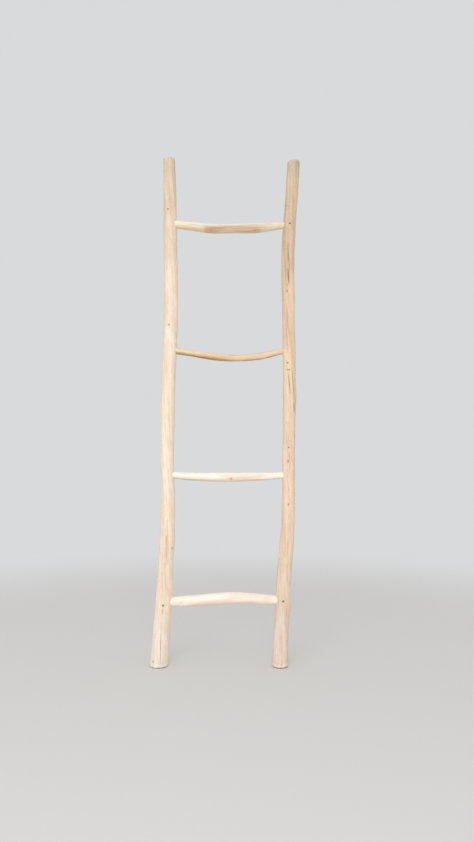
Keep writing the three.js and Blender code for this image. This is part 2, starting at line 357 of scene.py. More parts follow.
@dataclass(frozen=True)
class GrainLine:
    """A line that runs with the grain, from low to high in metres along the branch.

    angle is where it lies round the branch halfway along it.
    """

    low: float
    high: float
    angle: float

    def middle(self) -> float:
        """Halfway along it."""
        return (self.low + self.high) / 2

    def taper(self, place: Array) -> Array:
        """How much of it there is along its length, from 0 at its ends to 1."""
        share = np.clip((place - self.low) / (self.high - self.low), 0, 1)
        return np.sqrt(np.sin(math.pi * share))


@dataclass(frozen=True)
class Crack(GrainLine):
    """A drying crack."""

    width: float
    depth: float


@dataclass(frozen=True)
class Stain(GrainLine):
    """A brown line in the grain."""

    width: float
    strength: float


@dataclass(frozen=True)
class Tint:
    """A place where sun, sap or the last of the bark changed the wood's colour, or where painted shade or a
    painted highlight lies on it.

    low and high are in metres along the branch, angle is its middle round the branch and spread its reach
    round it, in radians.
    """

    low: float
    high: float
    angle: float
    spread: float
    colour: str
    strength: float


@dataclass(frozen=True)
class Facet:
    """A shallow flat that the peeling knife left, in metres along the branch and into it."""

    place: float
    length: float
    angle: float
    depth: float


@dataclass(frozen=True)
class Branch:
    """One branch: its natural form, and what grew, cracked and was cut in its surface."""

    thickness: float
    stations: tuple[Station, ...]
    oval: float
    oval_angle: float
    twist: float
    swellings: tuple[Swelling, ...]
    seed: int
    spiral: float
    knots: tuple[Knot, ...]
    stains: tuple[Stain, ...]
    tints: tuple[Tint, ...]
    facets: tuple[Facet, ...]
    cracks: tuple[Crack, ...] = ()
    length: float = 1.0
    stands_on_floor: bool = False

    def along(self, field_name: str, share: Array) -> Array:
        """One property at shares of the length: a smooth cubic through the stations.

        Args:
            field_name: The stations' field.
            share: Shares of the branch's length.

        Returns:
            The property there, in thicknesses.
        """
        at = np.array([station.at for station in self.stations])
        value = np.array([getattr(station, field_name) for station in self.stations])
        last = len(at) - 1
        before = np.maximum(np.arange(last + 1) - 1, 0)
        after = np.minimum(np.arange(last + 1) + 1, last)
        slope = (value[after] - value[before]) / (at[after] - at[before])
        i = np.clip(np.searchsorted(at, share, side="right") - 1, 0, last - 1)
        span = at[i + 1] - at[i]
        t = (share - at[i]) / span
        start = (1 + 2 * t) * (1 - t) ** 2 * value[i] + t * (1 - t) ** 2 * span * slope[i]
        return start + t * t * (3 - 2 * t) * value[i + 1] + t * t * (t - 1) * span * slope[i + 1]

    def wander(self, direction: str, share: Array) -> Array:
        """How far the middle wanders in one direction, in metres."""
        return self.thickness * self.along(direction, share)

    def radius(self, share: Array) -> Array:
        """The branch's mean radius at shares of the length, in metres."""
        return self.thickness * self.along("stout", share) / 2

    def girth(self, share: Array, angle: Array, wild: Array | float = 1.0) -> Array:
        """The distance from the branch's middle to its undressed surface, in metres.

        Args:
            share: Shares of the length.
            angle: Angles round the branch.
            wild: How much of the oval is left; 0 where the branch is whittled round.

        Returns:
            The distances.
        """
        radius = self.radius(share)
        oval = wild * self.oval * np.cos(2 * (angle - self.oval_angle) + self.twist * share)
        total = radius * (1 + oval)
        for bump in self.swellings:
            around = radius * turn_between(angle, bump.angle)
            away = np.hypot((share - bump.at) * self.length, around) / (self.thickness * bump.spread)
            total = total + self.thickness * bump.rise * np.exp(-(away**2))
        return total

    def grain_turn(self, place: Array | float) -> Array | float:
        """How far the fibres have turned round the branch at a place along it, in radians."""
        length = SWAY_LENGTH + SWAY_LENGTH_STEP * (self.seed % SWAY_LENGTHS)
        return self.spiral * place + SWAY * np.sin(place / length + self.seed)

    def fibre_line(self, angle: float, start: float, place: Array) -> Array:
        """The angle, at places along the branch, of the fibre that has the given angle at the start."""
        return angle + self.grain_turn(place) - self.grain_turn(start)

    def ripple(self, place: Array, angle: Array) -> Array:
        """The gentle unevenness of a peeled branch, as a sum of waves that close round it.

        Args:
            place: Places along the branch.
            angle: Angles round it.

        Returns:
            The unevenness, in metres outwards.
        """
        random = np.random.default_rng(self.seed)
        total = np.zeros(np.broadcast(place, angle).shape)
        for _ in range(RIPPLE_WAVES):
            crests = random.integers(1, RIPPLE_MOST_CRESTS + 1)
            length = random.uniform(*RIPPLE_LENGTHS)
            height = random.uniform(*RIPPLE_HEIGHTS)
            if crests < RIPPLE_FEW_CRESTS:
                height *= 1 + RIPPLE_BROAD_GAIN
            phase = random.uniform(0, 2 * math.pi)
            total = total + height * np.cos(crests * angle + 2 * math.pi * place / length + phase)
        return total

    def knot_reach(self, knot: Knot, place: Array, angle: Array) -> tuple[Array, Array]:
        """How far points lie from a knot, round the branch and along it, in metres."""
        radius = self.radius(np.clip(place / self.length, 0, 1))
        return radius * turn_between(angle, knot.angle), place - knot.place

    def relief(self, place: Array, angle: Array) -> Array:
        """What knives, knots and drying did to the surface, in metres outwards.

        Args:
            place: Places along the branch.
            angle: Angles round it.

        Returns:
            The change of the surface's distance from the middle.
        """
        radius = self.radius(np.clip(place / self.length, 0, 1))
        total = RIPPLE_LIMIT * np.tanh(self.ripple(place, angle) / RIPPLE_LIMIT) - PEELED_OFF
        if self.stands_on_floor:
            total = total - FOOT_WEAR * np.exp(-np.maximum(place, 0) / FOOT_WEAR_HEIGHT)
        for facet in self.facets:
            off = turn_between(angle, self.fibre_line(facet.angle, facet.place, place))
            cut = np.exp(-(((place - facet.place) / (facet.length / 2)) ** 4))
            flat = radius - facet.depth * cut + KNIFE_LIFT * (1 - cut)
            shaved = flat / np.cos(np.clip(off, -KNIFE_REACH, KNIFE_REACH)) - radius + KNIFE_SPRING
            total = np.where(np.abs(off) < KNIFE_REACH, np.minimum(total, shaved), total)
        for knot in self.knots:
            around, up = self.knot_reach(knot, place, angle)
            away = np.hypot(around, up / knot.stretch) / knot.radius
            collar = np.exp(-(((away - COLLAR_RADIUS) / COLLAR_SPREAD) ** 2))
            hollow = HOLLOW_SHARE * np.exp(-((away / HOLLOW_SPREAD) ** 2))
            heart = HEART_SHARE * np.exp(-((away / HEART_SPREAD) ** 2))
            total = total + knot.rise * (collar - hollow) - knot.radius * heart
        return total


@dataclass(frozen=True)
class Points:
    """The points of a finished log.

    place is where each lies along the log, own is that from the branch's own low end, angle is its angle
    round the middle, radius its distance from the middle, and surface that of the undressed surface there.
    """

    place: Array
    own: Array
    angle: Array
    radius: Array
    surface: Array


@dataclass
class Log:
    """A branch in its place in the ladder, as a mesh.

    The branch is drawn along its own length and then laid in the ladder: one that stands has its first cross
    direction to the right, and one that lies has it down. low and high are its ends, low_edge and high_edge
    the radii of their worn corners, and coarse and fine the spacings of the mesh's rings.
    """

    stands: ClassVar[bool]
    name: str
    branch: Branch
    low: float
    high: float
    sides: int
    coarse: float
    fine: float
    low_edge: float
    high_edge: float

    def middle(self, place: Array) -> tuple[Array, Array]:
        """The branch's middle in its two cross directions. Each kind of log has its own."""
        raise NotImplementedError

    def base_reach(self, place: Array, angle: Array) -> Array:
        """The distance from the middle to the undressed surface. Each kind of log has its own."""
        raise NotImplementedError

    def laid(self, first: Array, second: Array, place: Array) -> Array:
        """Points of the branch as points of the ladder."""
        parts = (first, second, place) if self.stands else (place, second, -first)
        return np.stack(np.broadcast_arrays(*parts), axis=-1)

    def unlaid(self, points: Array) -> tuple[Array, Array, Array]:
        """Points of the ladder as points of the branch."""
        x, y, z = points.T
        return (x, y, z) if self.stands else (-z, y, x)

    def dressed(self, place: Array) -> Array:
        """How much of the relief shows at places along the log, from 0 to 1."""
        return np.ones_like(place)

    def own_place(self, place: Array) -> Array:
        """Metres from the branch's own low end, which knots and cracks are placed by."""
        return place

    def reach(self, place: Array, angle: Array) -> Array:
        """The distance from the middle to the finished surface."""
        own = self.own_place(place)
        return self.base_reach(place, angle) + self.dressed(place) * self.branch.relief(own, angle)

    def busy_places(self) -> list[tuple[float, float]]:
        """The places along the branch that need a finer mesh, each with its radius."""
        return [(knot.place, knot.radius * knot.stretch) for knot in self.branch.knots]

    def ring_places(self) -> Array:
        """Places of the rings between the end corners, closer together at busy places and at the ends.

        Returns:
            The places along the log.
        """
        low, high = self.low + self.low_edge, self.high - self.high_edge
        probe = np.linspace(low, high, RING_PROBES)
        own = self.own_place(probe)
        step = np.full_like(probe, self.coarse)
        for place, size in self.busy_places():
            off = np.abs(own - place) / size
            step = np.minimum(step, self.fine + (self.coarse - self.fine) * smooth(*BUSY_REACH, off))
        near_end = np.minimum(probe - low, high - probe)
        step = np.minimum(step, self.fine + (self.coarse - self.fine) * smooth(*END_REACH, near_end))
        count = np.concatenate([[0], np.cumsum(np.diff(probe) / step[:-1])])
        rings = int(math.ceil(count[-1]))
        return np.interp(np.linspace(0, count[-1], rings + 1), count, probe)

    def rings(self) -> tuple[Array, Array, Array]:
        """The mesh's rings, from the middle of the low end over the body to the middle of the high end.

        Returns:
            For each ring its place along the log, how far it lies inside the surface at an end's corner, and
            its share of the way out from the middle.
        """
        corner = np.linspace(0, math.pi / 2, CORNER_STEPS + 1)[:-1]
        inner = np.linspace(END_MIDDLE, 1, END_RINGS + 1)[:-1]
        body = self.ring_places()
        drop, inset = 1 - np.cos(corner), 1 - np.sin(corner)
        places = (
            np.full_like(inner, self.low),
            self.low + self.low_edge * drop,
            body,
            self.high - self.high_edge * drop[::-1],
            np.full_like(inner, self.high),
        )
        insets = (
            np.full_like(inner, self.low_edge),
            self.low_edge * inset,
            np.zeros_like(body),
            self.high_edge * inset[::-1],
            np.full_like(inner, self.high_edge),
        )
        whole = np.ones(2 * CORNER_STEPS + len(body))
        shares = (inner, whole, inner[::-1])
        place, inset, share = (np.concatenate(parts)[:, None] for parts in (places, insets, shares))
        return place, inset, share

    def open_cracks(self, angle: Array, place: Array, share: Array) -> tuple[Array, Array, Array]:
        """Gathers columns of points along each crack and finds how deep it is.

        Args:
            angle: The angle of each point, ring by ring. The columns at a crack are moved in it.
            place: Each ring's place along the log.
            share: Each ring's share of the way out from the middle.

        Returns:
            How deep each point lies in a crack, and the lowest and the highest place that the checks in the
            ends leave it.
        """
        own = self.own_place(place)
        spacing = 2 * math.pi / self.sides
        groove = np.zeros_like(angle)
        lowest = np.full_like(angle, self.low)
        highest = np.full_like(angle, self.high)
        check = CHECK_DEPTH * smooth(*CHECK_RISE, share[:, 0])
        for crack in self.branch.cracks:
            start = crack.angle - self.branch.grain_turn(crack.middle())
            j = int(round(start / spacing)) % self.sides
            line = self.branch.fibre_line(crack.angle, crack.middle(), own)[:, 0]
            open_ = crack.taper(own)[:, 0]
            radius = self.base_reach(place, line[:, None])[:, 0]
            half = np.maximum(crack.width * open_, LEAST_CRACK) / (2 * radius)
            gathered = smooth(0.0, CRACK_GATHERED, open_)
            for k in range(-CRACK_COLUMNS, CRACK_COLUMNS + 1):
                column = (j + k) % self.sides
                step = max(abs(k) - 1, 0) / (CRACK_REACH - 1)
                wanted = line + np.sign(k) * (half + step * (CRACK_REACH * spacing - half))
                pull = gathered * (OUTER_PULL if abs(k) == CRACK_COLUMNS else 1.0)
                angle[:, column] += pull * turn_between(wanted, angle[:, column])
            groove[:, j] += crack.depth * open_
            lowest[:, j] += check * (crack.low < 0)
            highest[:, j] -= check * (crack.high > self.branch.length)
        return groove, lowest, highest

    def faces(self, rings: int) -> Faces:
        """The faces between the rings, and a fan at each end that closes it round its middle.

        Args:
            rings: The number of rings.

        Returns:
            The faces. The middles of the low and the high end are the two points after the rings.
        """
        around = np.arange(self.sides)
        beside = (around + 1) % self.sides
        start = self.sides * np.arange(rings - 1)[:, None]
        after = start + self.sides
        quads = np.stack([start + around, start + beside, after + beside, after + around], -1)
        low_middle = rings * self.sides
        last = low_middle - self.sides
        low_fan = np.stack([np.full_like(around, low_middle), beside, around], -1)
        high_fan = np.stack([np.full_like(around, low_middle + 1), last + around, last + beside], -1)
        return [tuple(face) for part in (quads.reshape(-1, 4), low_fan, high_fan) for face in part.tolist()]

    def build(self) -> Object:
        """Makes the log's closed mesh: rings of points, with a grid of smaller rings on each end.

        Returns:
            The new object, linked to the scene.
        """
        place, inset, share = self.rings()
        column = 2 * math.pi * np.arange(self.sides)[None, :] / self.sides
        angle = column + self.branch.grain_turn(self.own_place(place))
        groove, lowest, highest = self.open_cracks(angle, place, share)
        reach = (self.reach(place, angle) - inset) * share - groove * (share == 1)
        first, second = self.middle(place)
        up = np.clip(place, lowest, highest)
        grid = self.laid(first + reach * np.cos(angle), second + reach * np.sin(angle), up)
        ends = np.array([self.low, self.high])
        middles = self.laid(*self.middle(ends), ends)
        mesh = bpy.data.meshes.new(self.name)
        mesh.from_pydata(np.vstack([grid.reshape(-1, 3), middles]).tolist(), [], self.faces(len(place)))
        mesh.shade_smooth()
        return new_piece(mesh)

    def read_points(self, mesh: Mesh) -> Points:
        """Finds where each point of the finished log lies in its branch.

        Args:
            mesh: The log's finished mesh.

        Returns:
            The points.
        """
        flat = np.empty(len(mesh.vertices) * 3)
        mesh.vertices.foreach_get("co", flat)
        first, second, place = self.unlaid(flat.reshape(-1, 3))
        across, depth = self.middle(place)
        across, depth = first - across, second - depth
        angle = np.arctan2(depth, across)
        surface = self.base_reach(place, angle)
        return Points(place, self.own_place(place), angle, np.hypot(across, depth), surface)

    def knot_field(self, points: Points) -> tuple[Array, Array]:
        """Where the points lie from their nearest knots, and how the fibres part round the knots.

        Args:
            points: The points.

        Returns:
            The angle of each point's fibre in the straight branch, and each point's place from its nearest
            knot, in the knot's radius, with the knot's strength.
        """
        fibre = points.angle - self.branch.grain_turn(points.own)
        places = np.tile([FAR_FROM_KNOTS, FAR_FROM_KNOTS, 0.0], (len(fibre), 1))
        nearest = np.full(len(fibre), KNOT_REACH)
        for knot in self.branch.knots:
            around, up = self.branch.knot_reach(knot, points.own, points.angle)
            square = around**2 + (up / (FIBRE_STRETCH * knot.stretch)) ** 2
            parted = around * knot.radius**2 / np.maximum(square, knot.radius**2)
            fibre = fibre - parted / np.maximum(points.radius, LEAST_RADIUS)
            away = np.hypot(around, up / knot.stretch) / knot.radius
            near = away < nearest
            strength = knot.mark.value * (1 - smooth(*KNOT_FADE, away))
            here = np.stack([around / knot.radius, up / knot.stretch / knot.radius, strength], -1)
            places[near] = here[near]
            nearest = np.minimum(nearest, away)
        return fibre, places

    def blemishes(self, points: Points) -> Array:
        """How much cracks and stains darken each point.

        Args:
            points: The points.

        Returns:
            A strength for each point and each kind of blemish.
        """
        marks = np.zeros((len(points.own), len(Blemish)))
        dark, brown = marks[:, Blemish.CRACK.value], marks[:, Blemish.STAIN.value]
        for crack in self.branch.cracks:
            line = self.branch.fibre_line(crack.angle, crack.middle(), points.own)
            off = np.abs(turn_between(points.angle, line)) * points.radius
            open_ = crack.taper(points.own)
            half = crack.width / 2 * np.maximum(open_, LEAST_OPEN)
            inside = open_ * np.clip(1 - off / half, 0, 1) * (points.radius > CRACK_FLOOR * points.surface)
            np.maximum(dark, inside, out=dark)
        for stain in self.branch.stains:
            line = self.branch.fibre_line(stain.angle, stain.middle(), points.own)
            off = turn_between(points.angle, line) * points.radius / stain.width
            np.maximum(brown, stain.strength * np.exp(-(off**2)) * stain.taper(points.own), out=brown)
        return marks

    def tints(self, points: Points) -> Array:
        """Lays the branch's tints over each other.

        Args:
            points: The points.

        Returns:
            A linear colour for each point, with the tints' strength there as its alpha.
        """
        tint = np.zeros((len(points.own), 4))
        for spot in self.branch.tints:
            off = turn_between(points.angle, self.branch.fibre_line(spot.angle, spot.low, points.own))
            fade = min(TINT_FADE, TINT_FADE_SHARE * (spot.high - spot.low)) / 2
            along = smooth(spot.low - fade, spot.low + fade, points.own)
            along = along * (1 - smooth(spot.high - fade, spot.high + fade, points.own))
            inside = (spot.strength * along * np.exp(-((off / spot.spread) ** 4)))[:, None]
            below = tint[:, 3:] * (1 - inside)
            total = inside + below
            blend = np.array(linear(spot.colour))[:3] * inside + tint[:, :3] * below
            tint[:, :3] = blend / np.maximum(total, LEAST_STRENGTH)
            tint[:, 3:] = total
        return tint

    def write_grain(self, piece: Object) -> None:
        """Writes on each point where it lies in the straight, untwisted branch, and what marks it.

        Args:
            piece: The log's finished object.
        """
        mesh = piece.data
        points = self.read_points(mesh)
        fibre, knots = self.knot_field(points)
        straight = np.stack([points.radius * np.cos(fibre), points.radius * np.sin(fibre), points.own], -1)
        age = points.radius * self.branch.thickness / 2 / np.maximum(points.surface, LEAST_RADIUS)
        check = (points.radius < points.surface - SAWN_INSET * self.low_edge) * CHECK_DEPTH
        margin = check + SAWN_DEPTH
        sawn = (points.place < self.low + margin) | (points.place > self.high - margin)
        written = (
            ("fibre", "FLOAT_VECTOR", "vector", straight),
            ("knot", "FLOAT_VECTOR", "vector", knots),
            ("marks", "FLOAT_VECTOR", "vector", self.blemishes(points)),
            ("tint", "FLOAT_COLOR", "color", self.tints(points)),
            ("age", "FLOAT", "value", age),
            ("sawn", "FLOAT", "value", sawn),
        )
        for name, kind, value, numbers in written:
            attribute = mesh.attributes.new(name, kind, "POINT")
            attribute.data.foreach_set(value, numbers.astype(np.float32).ravel())


@dataclass
class Rail(Log):
    """A rail: it stands at its own side of the ladder and is bored for its rungs.

    shift is how far it stands off its own line, and spots are the nails' heights and angles.
    """

    stands: ClassVar[bool] = True
    side: Side = Side.LEFT
    shift: tuple[float, float] = (0.0, 0.0)
    spots: list[tuple[float, float]] = field(default_factory=list)

    def middle(self, place: Array) -> tuple[Array, Array]:
        """The rail's middle to the right and to the back.

        Args:
            place: Heights.

        Returns:
            The middle's two coordinates.
        """
        share = np.clip(place / self.branch.length, 0, 1)
        x = self.side.value * RAIL_SPACING / 2 + self.shift[0]
        return x + self.branch.wander("aside", share), self.shift[1] + self.branch.wander("back", share)

    def base_reach(self, place: Array, angle: Array) -> Array:
        """The distance from the rail's middle to its undressed surface."""
        return self.branch.girth(np.clip(place / self.branch.length, 0, 1), angle)

    def busy_places(self) -> list[tuple[float, float]]:
        """The knots and the nails."""
        return super().busy_places() + [(up, NAIL_SPOT) for up, _ in self.spots]

    def blemishes(self, points: Points) -> Array:
        """How much cracks, stains, the nails' rust, the floor's dirt and the painted shade at the feet's rims
        darken each point.

        Args:
            points: The points.

        Returns:
            A strength for each point and each kind of blemish.
        """
        marks = super().blemishes(points)
        brown = marks[:, Blemish.STAIN.value]
        for up, side in self.spots:
            around = turn_between(points.angle, side) * points.radius
            away = np.hypot(points.own - up, around) / NAIL_HEAD_DIAMETER
            np.maximum(brown, NAIL_STAIN * np.exp(-(away**2) / NAIL_STAIN_SPREAD), out=brown)
        haze = DIRT_HAZE_STRENGTH * np.exp(-points.place / DIRT_HAZE_HEIGHT)
        # Dirt as a haze over the foot, and painted shade as a dark rim where it meets the floor
        marks[:, Blemish.DIRT.value] = haze + PAINTED_FOOT_SHADE_STRENGTH * (1 - smooth(*PAINTED_FOOT_SHADE, points.place))
        return marks


@dataclass(frozen=True)
class NailPlace:
    """How a joint's nail is driven: from which face, and how far off the tenon's axis, in its radius."""

    face: Face
    off: float = 0.0


@dataclass
class Joint:
    """Where a rung's end sits in a rail: the tenon, the hole and the nail's head."""

    name: str
    rail: Rail
    up: float
    tenon_radius: float
    nail: NailPlace

    def __post_init__(self) -> None:
        """Works out the hole's mouth and depth, and the head's place, from the rail's own surface."""
        here = np.asarray(self.up)
        x, y = (float(v) for v in self.rail.middle(here))
        inward = 0.0 if self.rail.side is Side.LEFT else math.pi
        inner = float(self.rail.base_reach(here, np.asarray(inward)))
        outer = float(self.rail.base_reach(here, np.asarray(math.pi - inward)))
        self.y = y
        self.mouth = x - self.rail.side.value * inner
        self.depth = inner + outer - MORTISE_FLOOR
        nail_up = np.asarray(self.up + self.nail.off * self.tenon_radius)
        nail_x, nail_y = (float(v) for v in self.rail.middle(nail_up))
        self.nail_angle = self.nail.face.value * math.pi / 2
        skin = float(self.rail.base_reach(nail_up, np.asarray(self.nail_angle)))
        self.head = (nail_x, nail_y + self.nail.face.value * (skin - NAIL_HEAD_DEPTH), float(nail_up))


@dataclass
class Rung(Log):
    """A rung: it lies between the rails, with its two ends whittled round.

    The relief fades out over tenon_share of the span at each end. The knife left knife_cuts flats of uneven
    widths round each end, from knife_start to knife_end along it.
    """

    stands: ClassVar[bool] = False
    height: float = 0.0
    left: Joint | None = None
    right: Joint | None = None
    tenon_share: float = 0.06
    knife_cuts: int = 11
    knife_start: tuple[float, float] = (0.0, 6 * MM)
    knife_end: tuple[float, float] = (22 * MM, 42 * MM)
    knife_uneven: float = 0.4
    knife_rounds: int = 7
    knife_strength: float = 0.8

    def share(self, place: Array) -> Array:
        """The share of the clear span between the rails."""
        return np.clip((place - self.left.mouth) / (self.right.mouth - self.left.mouth), 0, 1)

    def middle(self, place: Array) -> tuple[Array, Array]:
        """The rung's middle, down and to the back.

        Args:
            place: Places from the left to the right.

        Returns:
            The middle's two coordinates.
        """
        share = self.share(place)
        depth = self.left.y + (self.right.y - self.left.y) * share
        return -self.height - self.branch.wander("rise", share), depth + self.branch.wander("back", share)

    def base_reach(self, place: Array, angle: Array) -> Array:
        """The distance from the rung's middle to its undressed surface."""
        share = self.share(place)
        return self.branch.girth(share, angle, np.sin(math.pi * share))

    def dressed(self, place: Array) -> Array:
        """The relief fades out before the tenons, which are whittled true."""
        share = self.share(place)
        return smooth(0.0, self.tenon_share, share) * smooth(0.0, self.tenon_share, 1 - share)

    def own_place(self, place: Array) -> Array:
        """Metres from the left rail's face."""
        return place - self.left.mouth

    def reach(self, place: Array, angle: Array) -> Array:
        """The finished surface, with the knife's flats where the rung is whittled down to its tenons.

        Args:
            place: Places along the rung.
            angle: Angles round it.

        Returns:
            The distances from the middle.
        """
        own = self.own_place(place)
        near = np.minimum(own, self.right.mouth - self.left.mouth - own)
        cut = smooth(*self.knife_start, near) * (1 - smooth(*self.knife_end, near))
        side = 2 * math.pi / self.knife_cuts
        uneven = self.knife_uneven * np.sin(self.knife_rounds * angle) / self.knife_rounds
        inside = (angle + uneven) % side - side / 2
        flat = math.cos(side / 2) / np.cos(inside)
        return super().reach(place, angle) * (1 - cut * (1 - flat) * self.knife_strength)


def lathe(outline: list[tuple[float, float]], sides: int) -> tuple[Array, Faces]:
    """Revolves an outline about +Y into a closed shape, with its faces turned outwards.

    Args:
        outline: (radius, distance along Y) pairs, from the axis and back to it.
        sides: The number of sides.

    Returns:
        The shape's points and faces.
    """
    angles = 2 * math.pi * np.arange(sides) / sides
    vertices = [(0.0, outline[0][1], 0.0)]
    for radius, along in outline[1:-1]:
        vertices += [(radius * math.sin(t), along, radius * math.cos(t)) for t in angles]
    vertices.append((0.0, outline[-1][1], 0.0))
    rings = len(outline) - 2
    faces: Faces = []
    for j in range(sides):
        after = (j + 1) % sides
        faces.append((0, 1 + after, 1 + j))
        for i in range(rings - 1):
            a, b = 1 + i * sides, 1 + (i + 1) * sides
            faces.append((a + j, a + after, b + after, b + j))
        end = 1 + (rings - 1) * sides
        faces.append((end + j, end + after, len(vertices) - 1))
    return np.array(vertices), faces


@dataclass(frozen=True)
class Cutter:
    """A closed shape that is cut out of a piece: its points in the ladder and its faces."""

    points: Array
    faces: Faces


def carve(piece: Object, name: str, cutters: list[Cutter]) -> None:
    """Cuts closed shapes out of a piece and keeps the result as its mesh.

    Args:
        piece: The object to cut.
        name: The cutters' name.
        cutters: The shapes. They have the same faces, and no two touch.
    """
    size = len(cutters[0].points)
    faces = [tuple(i + k * size for i in face) for k, cutter in enumerate(cutters) for face in cutter.faces]
    mesh = bpy.data.meshes.new(name)
    mesh.from_pydata(np.vstack([cutter.points for cutter in cutters]).tolist(), [], faces)
    shape = new_piece(mesh)
    boolean = piece.modifiers.new(name, "BOOLEAN")
    boolean.operation = "DIFFERENCE"
    boolean.solver = "MANIFOLD"
    boolean.object = shape
    graph = bpy.context.evaluated_depsgraph_get()
    result = bpy.data.meshes.new_from_object(piece.evaluated_get(graph))
    piece.modifiers.clear()
    piece.data = result
    bpy.data.objects.remove(shape)


@dataclass
class Nail:
    """A steel nail, driven in from its joint's face until its head lies just below the wood.

    crown is the head's outline as shares of its radius and depths below its top, and collar is that of the
    shank under the head, in its own radius. The grips are the grooves that the wire's clamp pressed in. The
    hammer's dents are drawn from the joint's height and the seed of its side.
    """

    joint: Joint
    sides: int = 24
    crown: tuple[tuple[float, float], ...] = (
        (0.0, 0.0),
        (0.35, 0.03 * MM),
        (0.7, 0.12 * MM),
        (0.92, 0.26 * MM),
        (1.0, 0.45 * MM),
        (1.0, 0.8 * MM),
        (0.93, NAIL_HEAD_THICKNESS),
    )
    collar: tuple[tuple[float, float], ...] = ((1.15, 0.15 * MM), (1.0, 0.8 * MM))
    grips: int = 5
    grip_start: float = 3.0 * MM
    grip_spacing: float = 0.9 * MM
    grip_width: float = 0.5 * MM
    grip_share: float = 0.9
    dents: int = 3
    dent_place: float = 0.6
    dent_sizes: tuple[float, float] = (0.5 * MM, 0.9 * MM)
    dent_depth: float = 0.12 * MM
    struck_depth: float = 0.3 * MM
    left_seed: int = 7
    right_seed: int = 21
    sharp_angle: float = 50.0

    def placed(self, points: Array) -> Array:
        """Turns points of a nail that points to +Y into the joint's own nail."""
        turned = points if self.joint.nail.face is Face.FRONT else points * (1, -1, -1)
        return turned + np.array(self.joint.head)

    def build(self) -> Object:
        """Makes the nail, with the crown, the dents and the drawn collar of a hammered wire nail.

        Returns:
            The new object, linked to the scene.
        """
        head, shank = NAIL_HEAD_DIAMETER / 2, NAIL_DIAMETER / 2
        outline = [(share * head, depth) for share, depth in self.crown]
        outline += [(share * shank, NAIL_HEAD_THICKNESS + depth) for share, depth in self.collar]
        for grip in range(self.grips):
            start = self.grip_start + grip * self.grip_spacing
            deepest = (self.grip_share * shank, start + self.grip_width / 2)
            outline += [(shank, start), deepest, (shank, start + self.grip_width)]
        outline += [(shank, NAIL_LENGTH - NAIL_POINT_LENGTH), (0.0, NAIL_LENGTH)]
        points, faces = lathe(outline, self.sides)
        seed = self.left_seed if self.joint.rail.side is Side.LEFT else self.right_seed
        random = np.random.default_rng(seed + int(self.joint.up / MM))
        for _ in range(self.dents):
            at = random.uniform(-self.dent_place, self.dent_place, 2) * head
            size = random.uniform(*self.dent_sizes)
            away = np.hypot(points[:, 0] - at[0], points[:, 2] - at[1])
            struck = points[:, 1] < self.struck_depth
            points[struck, 1] += self.dent_depth * np.exp(-((away[struck] / size) ** 2))
        mesh = bpy.data.meshes.new(f"nail_{self.joint.name}_steel")
        mesh.from_pydata(self.placed(points).tolist(), [], faces)
        mesh.shade_smooth()
        mesh.set_sharp_from_angle(angle=math.radians(self.sharp_angle))
        return new_piece(mesh)

    def hole(self) -> Cutter:
        """The hole that the nail leaves, open above its head.

        Returns:
            The shape to cut.
        """
        head, shank = NAIL_HEAD_DIAMETER / 2 + JOINT_GAP, NAIL_DIAMETER / 2 + JOINT_GAP
        under_head = NAIL_HEAD_THICKNESS + JOINT_GAP
        outline = [(0.0, -NAIL_HEAD_DIAMETER), (head, -NAIL_HEAD_DIAMETER), (head, under_head)]
        outline += [(shank, under_head), (shank, NAIL_LENGTH - NAIL_POINT_LENGTH + JOINT_GAP)]
        outline += [(0.0, NAIL_LENGTH + JOINT_GAP)]
        points, faces = lathe(outline, self.sides)
        return Cutter(self.placed(points), faces)


def mortise(joint: Joint, sides: int = 64) -> Cutter:
    """The blind hole that a rail has for a tenon.

    Args:
        joint: The joint.
        sides: The number of sides.

    Returns:
        The shape to cut.
    """
    radius = (joint.tenon_radius + JOINT_GAP) / math.cos(math.pi / sides)
    outline = [(0.0, -joint.depth), (radius, -joint.depth), (radius, joint.depth), (0.0, joint.depth)]
    points, faces = lathe(outline, sides)
    side = joint.rail.side.value
    turned = np.stack([side * points[:, 1], -side * points[:, 0], points[:, 2]], -1)
    return Cutter(turned + (joint.mouth, joint.y, joint.up), faces)


@dataclass(frozen=True)
class Grain:
    """The real size of a pattern's grains across and along the fibres, in metres."""

    across: float
    along: float

    def stretch(self) -> tuple[float, float, float]:
        """The scale that turns a place in the straight branch into a number of grains."""
        return 1 / self.across, 1 / self.across, 1 / self.along


@dataclass(frozen=True)
class Layer(Grain):
    """One pattern in wood's colour: the noise between low and high fades the colour in, up to strength."""

    colour: str
    low: float
    high: float
    strength: float
    detail: float = 2.0


@dataclass(frozen=True)
class Ring:
    """One zone of a knot, from its middle outwards in the knot's own radius."""

    full: float
    none: float
    colour: str
    strength: float


@dataclass(frozen=True)
class Darkening:
    """How one kind of blemish colours the wood. Where it is broken, it shows only in places."""

    blemish: Blemish
    colour: str
    strength: float
    broken: bool


# The sockets that mix colours in a Mix node
MIX_FACTOR, MIX_A, MIX_B, MIX_RESULT = 0, 6, 7, 2


